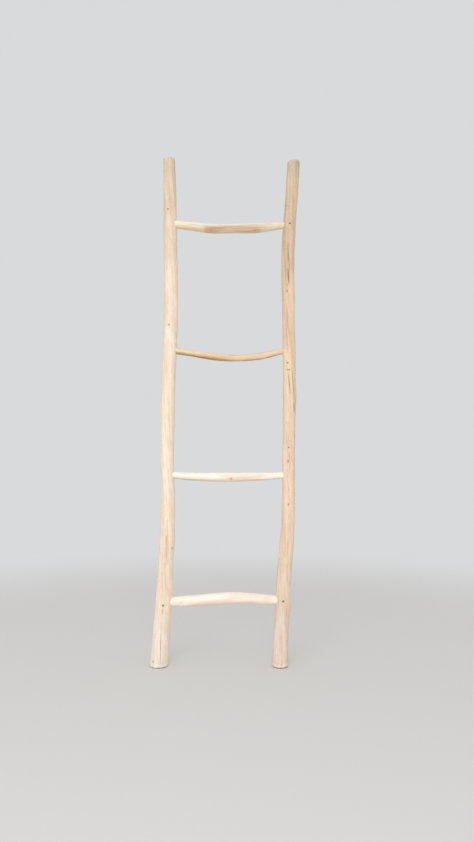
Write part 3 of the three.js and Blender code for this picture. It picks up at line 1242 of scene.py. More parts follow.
@dataclass(frozen=True)
class PeeledWood:
    """Wood of a thin branch: peeled with a drawknife, dried, rubbed down and left without oil or varnish.

    That gives the eye a matt, pale surface. Its colour changes in long streaks along the fibres, with small
    brown knots, a few open cracks, and the edges of growth rings where the knife went deeper. What the
    methods take and give are sockets, apart from the tree, the layers and the material.
    """

    name: str
    base: str
    latewood: str
    layers: tuple[Layer, ...]
    streaks: tuple[Layer, ...]
    rings: tuple[Ring, ...]
    scars: tuple[Ring, ...]
    darkenings: tuple[Darkening, ...] = (
        # The feet's dirt with painted shade at their rims, the stains, and the cracks' shadowed walls
        Darkening(Blemish.DIRT, "#4F453C", 0.95, True),
        Darkening(Blemish.STAIN, "#8A5B36", 0.85, True),
        Darkening(Blemish.CRACK, "#3B2A1E", 0.95, False),
    )
    end_pale: str = "#D9BC92"
    end_dark: str = "#A87F55"
    pith: str = "#8A5B36"
    pith_radius: tuple[float, float] = (1.0 * MM, 1.8 * MM)
    pith_strength: float = 0.8
    tint_edge: Grain = Grain(9.09 * MM, 111.1 * MM)
    ring_width: float = 1.4 * MM
    ring_wave: Grain = Grain(11.11 * MM, 200 * MM)
    ring_sway: float = 1.6
    ring_strength: float = 0.16
    latewood_share: tuple[float, float] = (0.55, 0.97)
    knot_edge: Grain = Grain(2.0 * MM, 3.333 * MM)
    knot_raggedness: float = 0.7
    hair: Grain = Grain(1.205 * MM, 25 * MM)
    hair_height: float = 0.25 * MM
    saw_ridge: float = 1.6 * MM
    saw_unsteadiness: float = 6.0
    roughness: tuple[float, float] = (0.62, 0.8)
    ior: float = 1.5

    def streaked(self, tree: NodeTree, fibre: Any, colour: Any, layers: tuple[Layer, ...]) -> Any:
        """Lays streaks of colour along the fibres, from the widest to the finest.

        Args:
            tree: The node tree.
            fibre: The place in the straight branch.
            colour: The colour below, or its linear RGBA.
            layers: The streaks.

        Returns:
            The new colour.
        """
        for layer in layers:
            place = {0: fibre, 1: layer.stretch()}
            place = add(tree, "ShaderNodeVectorMath", place, operation="MULTIPLY").outputs[0]
            noise = {"Vector": place, "Scale": 1.0, "Detail": layer.detail}
            noise = add(tree, "ShaderNodeTexNoise", noise).outputs[0]
            limits = {"Value": noise, "From Min": layer.low, "From Max": layer.high, "To Max": layer.strength}
            amount = add(tree, "ShaderNodeMapRange", limits, interpolation_type="SMOOTHSTEP").outputs[0]
            mixed = {MIX_FACTOR: amount, MIX_A: colour, MIX_B: linear(layer.colour)}
            colour = add(tree, "ShaderNodeMix", mixed, data_type="RGBA").outputs[MIX_RESULT]
        return colour

    def tinted(self, tree: NodeTree, fibre: Any, colour: Any) -> Any:
        """Colours the places that sun, sap and bark changed, and the painted shade and highlights, with a
        ragged edge.

        Args:
            tree: The node tree.
            fibre: The place in the straight branch.
            colour: The colour below.

        Returns:
            The new colour.
        """
        tint = add(tree, "ShaderNodeAttribute", attribute_name="tint").outputs
        place = {0: fibre, 1: self.tint_edge.stretch()}
        place = add(tree, "ShaderNodeVectorMath", place, operation="MULTIPLY").outputs[0]
        edge = add(tree, "ShaderNodeTexNoise", {"Vector": place, "Scale": 1.0, "Detail": 3.0}).outputs[0]
        uneven = {"Value": edge, "From Min": 0.35, "From Max": 0.65, "To Min": 0.6, "To Max": 1.25}
        uneven = add(tree, "ShaderNodeMapRange", uneven).outputs[0]
        amount = {0: tint["Alpha"], 1: uneven}
        amount = add(tree, "ShaderNodeMath", amount, operation="MULTIPLY", use_clamp=True).outputs[0]
        mixed = {MIX_FACTOR: amount, MIX_A: colour, MIX_B: tint["Color"]}
        return add(tree, "ShaderNodeMix", mixed, data_type="RGBA").outputs[MIX_RESULT]

    def growth(self, tree: NodeTree, fibre: Any) -> tuple[Any, Any, Any]:
        """Counts the years of the wood from the middle of the branch.

        Args:
            tree: The node tree.
            fibre: The place in the straight branch.

        Returns:
            The wave in the rings, the years, and how much of the place is dark latewood.
        """
        age = add(tree, "ShaderNodeAttribute", attribute_name="age").outputs["Fac"]
        place = {0: fibre, 1: self.ring_wave.stretch()}
        place = add(tree, "ShaderNodeVectorMath", place, operation="MULTIPLY").outputs[0]
        wave = add(tree, "ShaderNodeTexNoise", {"Vector": place, "Scale": 1.0, "Detail": 2.0}).outputs[0]
        years = add(tree, "ShaderNodeMath", {0: age, 1: 1 / self.ring_width}, operation="MULTIPLY").outputs[0]
        years = {0: wave, 1: self.ring_sway, 2: years}
        years = add(tree, "ShaderNodeMath", years, operation="MULTIPLY_ADD").outputs[0]
        season = add(tree, "ShaderNodeMath", {0: years}, operation="FRACT").outputs[0]
        begins, ends = self.latewood_share
        late = {"Value": season, "From Min": begins, "From Max": ends, "To Max": 1.0}
        late = add(tree, "ShaderNodeMapRange", late).outputs[0]
        fall = {"Value": season, "From Min": 1.0, "From Max": ends, "To Max": 1.0}
        fall = add(tree, "ShaderNodeMapRange", fall).outputs[0]
        return wave, years, add(tree, "ShaderNodeMath", {0: late, 1: fall}, operation="MULTIPLY").outputs[0]

    def knotted(self, tree: NodeTree, fibre: Any, colour: Any) -> Any:
        """Colours the knots: a dark heart, a brown body and a tan halo, with their edge broken up.

        Args:
            tree: The node tree.
            fibre: The place in the straight branch.
            colour: The colour below.

        Returns:
            The new colour.
        """
        knot = add(tree, "ShaderNodeAttribute", attribute_name="knot").outputs["Vector"]
        strength = add(tree, "ShaderNodeSeparateXYZ", {0: knot}).outputs[2]
        place = {0: fibre, 1: self.knot_edge.stretch()}
        place = add(tree, "ShaderNodeVectorMath", place, operation="MULTIPLY").outputs[0]
        ragged = add(tree, "ShaderNodeTexNoise", {"Vector": place, "Scale": 1.0, "Detail": 2.0}).outputs[0]
        flat = add(tree, "ShaderNodeVectorMath", {0: knot, 1: (1, 1, 0)}, operation="MULTIPLY").outputs[0]
        away = add(tree, "ShaderNodeVectorMath", {0: flat}, operation="LENGTH").outputs[1]
        away = {0: ragged, 1: self.knot_raggedness, 2: away}
        away = add(tree, "ShaderNodeMath", away, operation="MULTIPLY_ADD").outputs[0]
        away = {0: away, 1: self.knot_raggedness / 2}
        away = add(tree, "ShaderNodeMath", away, operation="SUBTRACT").outputs[0]
        grown_over = add(tree, "ShaderNodeMath", {0: strength, 1: -1.0}, operation="MULTIPLY").outputs[0]
        zones = [(ring, strength) for ring in self.rings] + [(ring, grown_over) for ring in self.scars]
        for ring, most in zones:
            limits = {"Value": away, "From Min": ring.none, "From Max": ring.full, "To Max": ring.strength}
            amount = add(tree, "ShaderNodeMapRange", limits, interpolation_type="SMOOTHSTEP").outputs[0]
            amount = add(tree, "ShaderNodeMath", {0: amount, 1: most}, operation="MULTIPLY").outputs[0]
            mixed = {MIX_FACTOR: amount, MIX_A: colour, MIX_B: linear(ring.colour)}
            colour = add(tree, "ShaderNodeMix", mixed, data_type="RGBA").outputs[MIX_RESULT]
        return colour

    def darkened(self, tree: NodeTree, wave: Any, colour: Any) -> Any:
        """Colours the dirt and the painted rim shade on the foot, the iron and bark stains, and the shadowed
        walls of cracks.

        Args:
            tree: The node tree.
            wave: The wave in the rings, which also breaks up the dirt, the painted rim shade and the stains.
            colour: The colour below.

        Returns:
            The new colour.
        """
        marks = add(tree, "ShaderNodeAttribute", attribute_name="marks").outputs["Vector"]
        marks = add(tree, "ShaderNodeSeparateXYZ", {0: marks}).outputs
        patchy = {"Value": wave, "From Min": 0.3, "From Max": 0.6, "To Min": 0.35, "To Max": 1.0}
        patchy = add(tree, "ShaderNodeMapRange", patchy).outputs[0]
        for kind in self.darkenings:
            amount = {0: marks[kind.blemish.value], 1: kind.strength}
            amount = add(tree, "ShaderNodeMath", amount, operation="MULTIPLY").outputs[0]
            if kind.broken:
                amount = add(tree, "ShaderNodeMath", {0: amount, 1: patchy}, operation="MULTIPLY").outputs[0]
            mixed = {MIX_FACTOR: amount, MIX_A: colour, MIX_B: linear(kind.colour)}
            colour = add(tree, "ShaderNodeMix", mixed, data_type="RGBA").outputs[MIX_RESULT]
        return colour

    def end_grain(self, tree: NodeTree, years: Any, late: Any) -> Any:
        """Colours a sawn end: whole rings, each as dark as its own year, round a small brown pith.

        Args:
            tree: The node tree.
            years: The years.
            late: How much of the place is latewood.

        Returns:
            The new colour.
        """
        number = add(tree, "ShaderNodeMath", {0: years}, operation="FLOOR").outputs[0]
        weather = add(tree, "ShaderNodeTexWhiteNoise", {"W": number}, noise_dimensions="1D").outputs["Value"]
        weather = add(tree, "ShaderNodeMapRange", {"Value": weather, "To Min": 0.3, "To Max": 1.0}).outputs[0]
        amount = add(tree, "ShaderNodeMath", {0: late, 1: weather}, operation="MULTIPLY").outputs[0]
        mixed = {MIX_FACTOR: amount, MIX_A: linear(self.end_pale), MIX_B: linear(self.end_dark)}
        colour = add(tree, "ShaderNodeMix", mixed, data_type="RGBA").outputs[MIX_RESULT]
        age = add(tree, "ShaderNodeAttribute", attribute_name="age").outputs["Fac"]
        inner, outer = self.pith_radius
        pith = {"Value": age, "From Min": outer, "From Max": inner, "To Max": self.pith_strength}
        pith = add(tree, "ShaderNodeMapRange", pith).outputs[0]
        mixed = {MIX_FACTOR: pith, MIX_A: colour, MIX_B: linear(self.pith)}
        return add(tree, "ShaderNodeMix", mixed, data_type="RGBA").outputs[MIX_RESULT]

    def build(self) -> Material:
        """Makes the material.

        Returns:
            A material that reads the attributes that Log.write_grain writes.
        """
        material = bare_material(self.name)
        tree = material.node_tree
        fibre = add(tree, "ShaderNodeAttribute", attribute_name="fibre").outputs["Vector"]
        colour = self.streaked(tree, fibre, linear(self.base), self.layers)
        colour = self.tinted(tree, fibre, colour)
        colour = self.streaked(tree, fibre, colour, self.streaks)
        # Growth rings: fine brown contours where the surface was cut below one year's wood
        wave, years, late = self.growth(tree, fibre)
        faint = add(tree, "ShaderNodeMath", {0: late, 1: self.ring_strength}, operation="MULTIPLY").outputs[0]
        mixed = {MIX_FACTOR: faint, MIX_A: colour, MIX_B: linear(self.latewood)}
        colour = add(tree, "ShaderNodeMix", mixed, data_type="RGBA").outputs[MIX_RESULT]
        colour = self.knotted(tree, fibre, colour)
        colour = self.darkened(tree, wave, colour)
        sawn = add(tree, "ShaderNodeAttribute", attribute_name="sawn").outputs["Fac"]
        mixed = {MIX_FACTOR: sawn, MIX_A: colour, MIX_B: self.end_grain(tree, years, late)}
        colour = add(tree, "ShaderNodeMix", mixed, data_type="RGBA").outputs[MIX_RESULT]
        # Fibres stand up by a hair, 0.5 mm apart and 25 mm long, and are drawn at 1.2 mm to show
        place = {0: fibre, 1: self.hair.stretch()}
        place = add(tree, "ShaderNodeVectorMath", place, operation="MULTIPLY").outputs[0]
        hair = add(tree, "ShaderNodeTexNoise", {"Vector": place, "Scale": 1.0, "Detail": 4.0}).outputs[0]
        # A bow saw left ridges on the ends, which the hair makes unsteady
        stroke = add(tree, "ShaderNodeSeparateXYZ", {0: fibre}).outputs[0]
        stroke = {0: stroke, 1: 2 * math.pi / self.saw_ridge}
        stroke = add(tree, "ShaderNodeMath", stroke, operation="MULTIPLY").outputs[0]
        stroke = {0: hair, 1: self.saw_unsteadiness, 2: stroke}
        stroke = add(tree, "ShaderNodeMath", stroke, operation="MULTIPLY_ADD").outputs[0]
        stroke = add(tree, "ShaderNodeMath", {0: stroke}, operation="SINE").outputs[0]
        height = add(tree, "ShaderNodeMix", {0: sawn, 2: hair, 3: stroke}).outputs[0]
        bump = {"Strength": 0.5, "Distance": self.hair_height, "Height": height}
        bump = add(tree, "ShaderNodeBump", bump).outputs[0]
        shiny, dull = self.roughness
        gloss = {"Value": hair, "From Min": 0.3, "From Max": 0.7, "To Min": shiny, "To Max": dull}
        gloss = add(tree, "ShaderNodeMapRange", gloss).outputs[0]
        surface = {"Base Color": colour, "Roughness": gloss, "Normal": bump, "IOR": self.ior}
        shader = add(tree, "ShaderNodeBsdfPrincipled", surface)
        add(tree, "ShaderNodeOutputMaterial", {"Surface": shader.outputs[0]})
        return material


@dataclass(frozen=True)
class RustedSteel:
    """Drawn wire nails, left bare.

    That gives the eye brown rust in the dents, and a grey crown where sanding the wood rubbed the head.
    """

    name: str = "mild steel wire nail, darkened and sanded over"
    steel: str = "#A29A92"
    rust: str = "#7C5A44"
    flower: float = 1.0 * MM
    rust_begins: tuple[float, float] = (0.42, 0.60)
    metal: tuple[float, float] = (0.9, 0.15)
    roughness: tuple[float, float] = (0.4, 0.85)
    pit_depth: float = 0.08 * MM

    def build(self) -> Material:
        """Makes the material.

        Returns:
            The material, with rust in flowers and bare steel between them.
        """
        material = bare_material(self.name)
        tree = material.node_tree
        place = add(tree, "ShaderNodeTexCoord").outputs["Object"]
        flowers = {"Vector": place, "Scale": 1 / self.flower, "Detail": 4.0}
        flowers = add(tree, "ShaderNodeTexNoise", flowers).outputs[0]
        bare, full = self.rust_begins
        rusty = {"Value": flowers, "From Min": bare, "From Max": full}
        rusty = add(tree, "ShaderNodeMapRange", rusty).outputs[0]
        mixed = {MIX_FACTOR: rusty, MIX_A: linear(self.steel), MIX_B: linear(self.rust)}
        colour = add(tree, "ShaderNodeMix", mixed, data_type="RGBA").outputs[MIX_RESULT]
        metal = {"Value": rusty, "To Min": self.metal[0], "To Max": self.metal[1]}
        metal = add(tree, "ShaderNodeMapRange", metal).outputs[0]
        rough = {"Value": rusty, "To Min": self.roughness[0], "To Max": self.roughness[1]}
        rough = add(tree, "ShaderNodeMapRange", rough).outputs[0]
        bump = {"Strength": 0.6, "Distance": self.pit_depth, "Height": flowers}
        bump = add(tree, "ShaderNodeBump", bump).outputs[0]
        surface = {"Base Color": colour, "Metallic": metal, "Roughness": rough, "Normal": bump}
        shader = add(tree, "ShaderNodeBsdfPrincipled", surface)
        add(tree, "ShaderNodeOutputMaterial", {"Surface": shader.outputs[0]})
        return material


# An open knot: a tan halo, a brown body and a dark heart
KNOT_RINGS = (
    Ring(0.9, 2.0, "#D9B488", 0.4),
    Ring(0.75, 1.2, "#B5855A", 0.75),
    Ring(0.35, 0.8, "#6E4A2E", 0.8),
    Ring(0.1, 0.45, "#4A3120", 0.8),
)

# A scar that has grown over: a halo, a brown outline and pale new wood
SCAR_RINGS = (
    Ring(1.0, 1.6, "#D2AA82", 0.35),
    Ring(0.95, 1.25, "#A9754E", 0.8),
    Ring(0.6, 0.85, "#E8D0AC", 0.9),
)

# Poplar: cream, with a pink and a straw cast and a few soft brown streaks
LEFT_RAIL_WOOD = PeeledWood(
    name="poplar branch, peeled and dried",
    base="#F8E6D1",
    latewood="#CFAA7E",
    layers=(
        Layer(40 * MM, 300 * MM, "#F6DAC6", 0.5, 0.66, 0.6),
        Layer(34 * MM, 340 * MM, "#EFE1BE", 0.5, 0.68, 0.5),
        Layer(16 * MM, 420 * MM, "#EDD3B2", 0.46, 0.68, 0.5),
        Layer(6 * MM, 180 * MM, "#FFF6E8", 0.5, 0.7, 0.5),
    ),
    streaks=(
        Layer(4 * MM, 140 * MM, "#DDBB94", 0.52, 0.76, 0.5, 3.0),
        Layer(2.2 * MM, 90 * MM, "#C79E75", 0.57, 0.78, 0.55, 3.0),
        Layer(2 * MM, 10 * MM, "#B98F66", 0.62, 0.76, 0.4),
        Layer(2.4 * MM, 14 * MM, "#FFFAF0", 0.6, 0.74, 0.45),
    ),
    rings=KNOT_RINGS,
    scars=SCAR_RINGS,
)

# Alder reddens as it dries: a tanner branch, with darker and closer streaks
RIGHT_RAIL_WOOD = replace(
    LEFT_RAIL_WOOD,
    name="alder branch, peeled and dried",
    base="#F2DBC1",
    latewood="#C2966A",
    layers=(
        Layer(40 * MM, 300 * MM, "#F1D0B8", 0.5, 0.66, 0.6),
        Layer(34 * MM, 340 * MM, "#E8D6AC", 0.5, 0.68, 0.4),
        Layer(16 * MM, 420 * MM, "#E2C29C", 0.46, 0.68, 0.55),
        Layer(6 * MM, 180 * MM, "#FAEBD6", 0.5, 0.7, 0.5),
    ),
    streaks=(
        Layer(4 * MM, 140 * MM, "#CFA67A", 0.52, 0.74, 0.55, 3.0),
        Layer(2.2 * MM, 90 * MM, "#B48860", 0.56, 0.76, 0.6, 3.0),
        Layer(2 * MM, 10 * MM, "#A47A54", 0.61, 0.75, 0.45),
        Layer(2.4 * MM, 14 * MM, "#FBEFDD", 0.6, 0.74, 0.5),
    ),
)

# Birch: the whitest of the woods, with hardly any grain to see
WHITE_RUNG_WOOD = replace(
    LEFT_RAIL_WOOD,
    name="birch branch, peeled and dried",
    base="#FCF6E9",
    latewood="#DDBE98",
    layers=(
        Layer(20 * MM, 260 * MM, "#F7EAD2", 0.48, 0.7, 0.5),
        Layer(14 * MM, 120 * MM, "#F8E0CC", 0.55, 0.72, 0.4),
    ),
    streaks=(
        Layer(4 * MM, 90 * MM, "#EAD2B2", 0.54, 0.78, 0.35, 3.0),
        Layer(2 * MM, 60 * MM, "#D4B390", 0.6, 0.8, 0.35, 3.0),
        Layer(2 * MM, 9 * MM, "#C6A27C", 0.66, 0.78, 0.3),
    ),
)

# Lime: nearly as white, with tan streaks where some of the bast stayed on
TOP_RUNG_WOOD = replace(
    WHITE_RUNG_WOOD,
    name="lime branch, peeled and dried",
    base="#FAF1E0",
    latewood="#CFAA7E",
    layers=(
        Layer(20 * MM, 260 * MM, "#F2E2C6", 0.45, 0.68, 0.5),
        Layer(14 * MM, 120 * MM, "#F2D4BE", 0.56, 0.74, 0.4),
    ),
    streaks=(
        Layer(4 * MM, 90 * MM, "#DDBC92", 0.5, 0.74, 0.5, 3.0),
        Layer(2 * MM, 60 * MM, "#C0946A", 0.56, 0.76, 0.5, 3.0),
        Layer(2 * MM, 9 * MM, "#B98F66", 0.64, 0.78, 0.3),
    ),
)

# Hazel: the colour of honey all through, with fine brown fibres
HONEY_RUNG_WOOD = replace(
    LEFT_RAIL_WOOD,
    name="hazel branch, peeled and dried",
    base="#EDD2AE",
    layers=(
        Layer(18 * MM, 200 * MM, "#DDB687", 0.45, 0.68, 0.5),
        Layer(10 * MM, 120 * MM, "#F5E0C4", 0.5, 0.7, 0.6),
        Layer(7 * MM, 60 * MM, "#D8B87E", 0.55, 0.72, 0.4),
    ),
    streaks=(
        Layer(2 * MM, 60 * MM, "#B3895C", 0.54, 0.74, 0.55, 3.0),
        Layer(2 * MM, 9 * MM, "#A97E52", 0.62, 0.76, 0.4),
    ),
)


def knife_facets(
    seed: int, length: float, count: int, deepest: float, cut: tuple[float, float] = PEELING_CUT
) -> tuple[Facet, ...]:
    """The flats that a drawknife left as it went along a branch.

    Args:
        seed: The seed of their places.
        length: How much of the branch they cover, from its low end.
        count: How many there are.
        deepest: The deepest cut.
        cut: The shortest and the longest flat.

    Returns:
        The flats.
    """
    random = np.random.default_rng(seed)
    flats = []
    for k in range(count):
        place = length * (k + random.uniform(*CUT_PLACE)) / count
        angle = random.uniform(0, 2 * math.pi)
        flats.append(Facet(place, random.uniform(*cut), angle, deepest * random.uniform(LIGHTEST_CUT, 1)))
    return tuple(flats)


LEFT_BRANCH = Branch(
    length=RAIL_LENGTH,
    thickness=RAIL_THICKNESS,
    stations=(
        Station(0, aside=-0.485, back=0.05, stout=1.33),
        Station(0.06, aside=-0.325, back=0.04, stout=1.275),
        Station(0.14, aside=-0.095, stout=1.165),
        Station(0.18, aside=-0.075, back=-0.04, stout=1.1),
        Station(0.24, aside=0.055, back=-0.09, stout=1.08),
        Station(0.31, aside=0.115, back=-0.125, stout=1.015),
        Station(0.39, aside=0.015, back=-0.1, stout=0.955),
        Station(0.45, aside=0.02, back=-0.06, stout=1.03),
        Station(0.545, aside=0.06, back=0.04),
        Station(0.64, aside=0.165, back=0.11, stout=1.025),
        Station(0.72, aside=0.19, back=0.125, stout=1.015),
        Station(0.83, aside=0.125, back=0.06, stout=0.995),
        Station(0.93, aside=0.065, stout=0.95),
        Station(1, aside=-0.005, back=-0.04, stout=0.835),
    ),
    oval=0.025,
    oval_angle=0.9,
    twist=1.6,
    swellings=(
        Swelling(0.135, 3.3, 0.055, 0.8),
        Swelling(0.225, 5.6, 0.04, 0.55),
        Swelling(0.6, 2.4, 0.035, 0.65),
        Swelling(0.775, 4.3, 0.03, 0.5),
    ),
    seed=11,
    spiral=-2.4,
    knots=(
        Knot(1.338, turn(255), 2.6 * MM, Mark.EYE, 1.1),
        Knot(0.989, turn(262), 3 * MM, Mark.FAINT, 1.6),
        Knot(0.9, turn(137), 5 * MM, Mark.EYE, 1.4, 0.7 * MM),
        Knot(1.265, turn(60), 3.6 * MM, Mark.EYE, 1.3, 0.5 * MM),
        Knot(0.66, turn(35), 3.2 * MM, Mark.EYE, 1.4, 0.5 * MM),
        Knot(0.455, turn(100), 4.2 * MM, Mark.SCAR, 2.6, 0.5 * MM),
        Knot(0.337, turn(321), 3 * MM, Mark.FAINT, 1.6, 0.5 * MM),
        Knot(0.205, turn(189), 6 * MM, Mark.EYE, 1.3, 0.8 * MM),
        Knot(0.07, turn(85), 4 * MM, Mark.EYE, 1.3, 0.6 * MM),
        Knot(0.019, turn(234), 1.5 * MM, Mark.PIN, 2.2),
    ),
    cracks=(
        Crack(-0.004, 0.13, turn(276.3), 1 * MM, 2.4 * MM),
        Crack(-0.03, 0.022, turn(305), 0.7 * MM, 1.6 * MM),
        Crack(-0.05, 0.045, turn(60), 1 * MM, 2.4 * MM),
        Crack(-0.03, 0.03, turn(170), 0.8 * MM, 2 * MM),
        Crack(1.44, 1.56, turn(35), 1.2 * MM, 3 * MM),
        Crack(1.475, 1.53, turn(150), 0.8 * MM, 2 * MM),
        Crack(1.48, 1.53, turn(330), 0.7 * MM, 1.6 * MM),
        Crack(1.02, 1.2, turn(75), 1.2 * MM, 3 * MM),
        Crack(0.52, 0.61, turn(150), 0.9 * MM, 2 * MM),
    ),
    stains=(
        Stain(0.3, 0.374, turn(274), 1.6 * MM, 0.55),
        Stain(0.344, 0.376, turn(270), 1.6 * MM, 1.0),
        Stain(0.212, 0.305, turn(280), 1.5 * MM, 0.35),
        Stain(0.15, 0.169, turn(270), 1.5 * MM, 0.6),
        Stain(0.4, 0.62, turn(290), 2.4 * MM, 0.14),
        Stain(0.7, 0.93, turn(262), 2.6 * MM, 0.12),
        Stain(1.03, 1.3, turn(283), 2.2 * MM, 0.14),
        Stain(0.3, 0.52, turn(120), 2.4 * MM, 0.3),
        Stain(0.95, 1.18, turn(20), 2.2 * MM, 0.3),
    ),
    tints=(
        # Painted shade: the top of the rail darker and greyer all round
        Tint(1.33, 1.6, turn(270), turn(200), "#C4B088", 0.44),
        Tint(1.44, 1.6, turn(270), turn(200), "#BFAE88", 0.36),
        Tint(1.17, 1.36, turn(250), turn(120), "#E0C3A6", 0.4),
        Tint(0.46, 0.97, turn(266), turn(80), "#FEF1DD", 0.3),
        Tint(-0.1, 0.15, turn(270), turn(200), "#FAEEE2", 0.6),
        Tint(0.102, 0.128, turn(312), turn(20), "#E6D3BC", 0.4),
        Tint(0.005, 0.011, turn(270), turn(200), "#FFFCF2", 0.5),
        Tint(0.16, 0.198, turn(308), turn(15), "#FFF8EA", 0.6),
        Tint(0.3, 0.38, turn(283), turn(13), "#E7B49A", 0.45),
        Tint(0.85, 0.94, turn(252), turn(24), "#F3CBA8", 0.5),
    ),
    facets=knife_facets(3, RAIL_LENGTH, 20, 0.7 * MM)
    + knife_facets(5, 0.06, 10, 0.5 * MM, HEWN_CUT),
    stands_on_floor=True,
)

RIGHT_BRANCH = Branch(
    length=RIGHT_RAIL_LENGTH,
    thickness=RAIL_THICKNESS,
    stations=(
        Station(0, aside=-0.655, back=-0.05, stout=1.15),
        Station(0.06, aside=-0.57, back=-0.05, stout=1.12),
        Station(0.12, aside=-0.44, back=-0.025, stout=1.08),
        Station(0.18, aside=-0.3, back=0.025, stout=1.055),
        Station(0.25, aside=-0.06, back=0.09),
        Station(0.32, aside=0.03, back=0.125, stout=0.935),
        Station(0.39, aside=0.055, back=0.125, stout=0.92),
        Station(0.45, aside=0.1, back=0.09, stout=0.91),
        Station(0.52, aside=0.135, back=0.025, stout=0.95),
        Station(0.585, aside=0.14, back=-0.025, stout=0.945),
        Station(0.7, aside=0.085, back=-0.1, stout=0.925),
        Station(0.8, aside=0.075, back=-0.1, stout=0.97),
        Station(0.87, aside=0.215, back=-0.05, stout=0.955),
        Station(0.935, aside=0.41, back=0.01, stout=0.92),
        Station(1, aside=0.57, back=0.075, stout=0.925),
    ),
    oval=0.03,
    oval_angle=2.2,
    twist=-1.3,
    swellings=(
        Swelling(0.115, 6.1, 0.045, 0.75),
        Swelling(0.376, 4.6, 0.045, 0.5),
        Swelling(0.52, 0.2, 0.035, 0.75),
        Swelling(0.73, 4.8, 0.04, 0.5),
        Swelling(0.905, 4.4, 0.035, 0.45),
    ),
    seed=23,
    spiral=-3.4,
    knots=(
        Knot(1.349, turn(223), 1.5 * MM, Mark.PIN),
        Knot(1.348, turn(252), 1.5 * MM, Mark.PIN),
        Knot(1.106, turn(257), 2.4 * MM, Mark.SCAR, 1.2, 0.2 * MM),
        Knot(1.088, turn(257), 3.4 * MM, Mark.FAINT, 1.6, 0.4 * MM),
        Knot(0.875, turn(252), 2.4 * MM, Mark.EYE),
        Knot(0.855, turn(250), 2 * MM, Mark.PIN),
        Knot(0.854, turn(266), 2 * MM, Mark.PIN),
        Knot(0.644, turn(248), 1.4 * MM, Mark.FAINT),
        Knot(0.627, turn(265), 2.2 * MM, Mark.EYE, 1.2),
        Knot(0.587, turn(262), 3 * MM, Mark.FAINT, 1.9, 0.3 * MM),
        Knot(0.462, turn(266), 2.2 * MM, Mark.EYE),
        Knot(0.775, turn(8), 5 * MM, Mark.EYE, 1.4, 0.7 * MM),
        Knot(0.172, turn(350), 5.5 * MM, Mark.EYE, 1.3, 0.8 * MM),
        Knot(0.3, turn(95), 4.2 * MM, Mark.EYE, 1.3, 0.5 * MM),
        Knot(0.96, turn(120), 4 * MM, Mark.SCAR, 2.4, 0.5 * MM),
        Knot(1.215, turn(50), 3.6 * MM, Mark.EYE, 1.3, 0.5 * MM),
        Knot(0.011, turn(275), 1.6 * MM, Mark.PIN),
    ),
    cracks=(
        Crack(0.792, 0.85, turn(264), 0.8 * MM, 1.8 * MM),
        Crack(-0.04, 0.03, turn(20), 1 * MM, 2.4 * MM),
        Crack(-0.03, 0.02, turn(140), 0.8 * MM, 2 * MM),
        Crack(-0.02, 0.018, turn(245), 0.7 * MM, 1.6 * MM),
        Crack(1.425, 1.56, turn(110), 1.2 * MM, 3 * MM),
        Crack(1.47, 1.53, turn(215), 0.8 * MM, 2 * MM),
        Crack(1.475, 1.53, turn(345), 0.8 * MM, 2 * MM),
        Crack(0.34, 0.52, turn(80), 1.2 * MM, 3 * MM),
        Crack(1.09, 1.19, turn(160), 0.9 * MM, 2 * MM),
    ),
    stains=(
        Stain(1.17, 1.236, turn(267), 2 * MM, 0.8),
        Stain(1.143, 1.2, turn(276), 1.8 * MM, 0.5),
        Stain(1.108, 1.158, turn(271), 2 * MM, 1.1),
        Stain(1.106, 1.222, turn(240), 1.8 * MM, 0.7),
        Stain(0.965, 1.055, turn(254), 2.4 * MM, 0.45),
        Stain(0.615, 0.69, turn(243), 1.1 * MM, 0.4),
        Stain(0.625, 0.7, turn(262), 1.1 * MM, 0.45),
        Stain(0.62, 0.685, turn(283), 1.1 * MM, 0.4),
        Stain(0.546, 0.59, turn(281), 1.1 * MM, 0.5),
        Stain(0.59, 0.613, turn(270), 1.6 * MM, 0.7),
        Stain(0.55, 0.596, turn(258), 1.4 * MM, 0.5),
        Stain(0.78, 0.85, turn(264), 2 * MM, 0.5),
        Stain(0.762, 0.866, turn(299), 2 * MM, 0.7),
        Stain(0.728, 0.762, turn(311), 2.6 * MM, 1.0),
        Stain(1.25, 1.44, turn(285), 2.6 * MM, 0.18),
        Stain(0.22, 0.43, turn(278), 3 * MM, 0.18),
        Stain(0.55, 0.8, turn(100), 2.4 * MM, 0.3),
        Stain(0.1, 0.3, turn(200), 2.2 * MM, 0.3),
    ),
    tints=(
        # Painted shade: the top of the rail darker and greyer all round
        Tint(1.37, 1.6, turn(270), turn(200), "#AAA492", 0.34),
        Tint(1.44, 1.6, turn(270), turn(200), "#A9A08C", 0.34),
        Tint(1.14, 1.38, turn(265), turn(90), "#A38A6A", 0.42),
        Tint(0.93, 1.16, turn(255), turn(70), "#B48A60", 0.24),
        Tint(0.81, 0.9, turn(245), turn(45), "#EFDDA6", 0.45),
        Tint(0.44, 0.6, turn(270), turn(80), "#F6D6BE", 0.35),
        Tint(-0.1, 0.3, turn(270), turn(200), "#EBDAC8", 0.45),
        Tint(-0.1, 0.14, turn(270), turn(200), "#ECDDD4", 0.4),
        Tint(0.005, 0.012, turn(270), turn(200), "#FFF6EA", 0.5),
    ),
    facets=knife_facets(8, RIGHT_RAIL_LENGTH, 20, 0.7 * MM)
    + knife_facets(6, 0.13, 22, 0.6 * MM, HEWN_CUT),
    stands_on_floor=True,
)

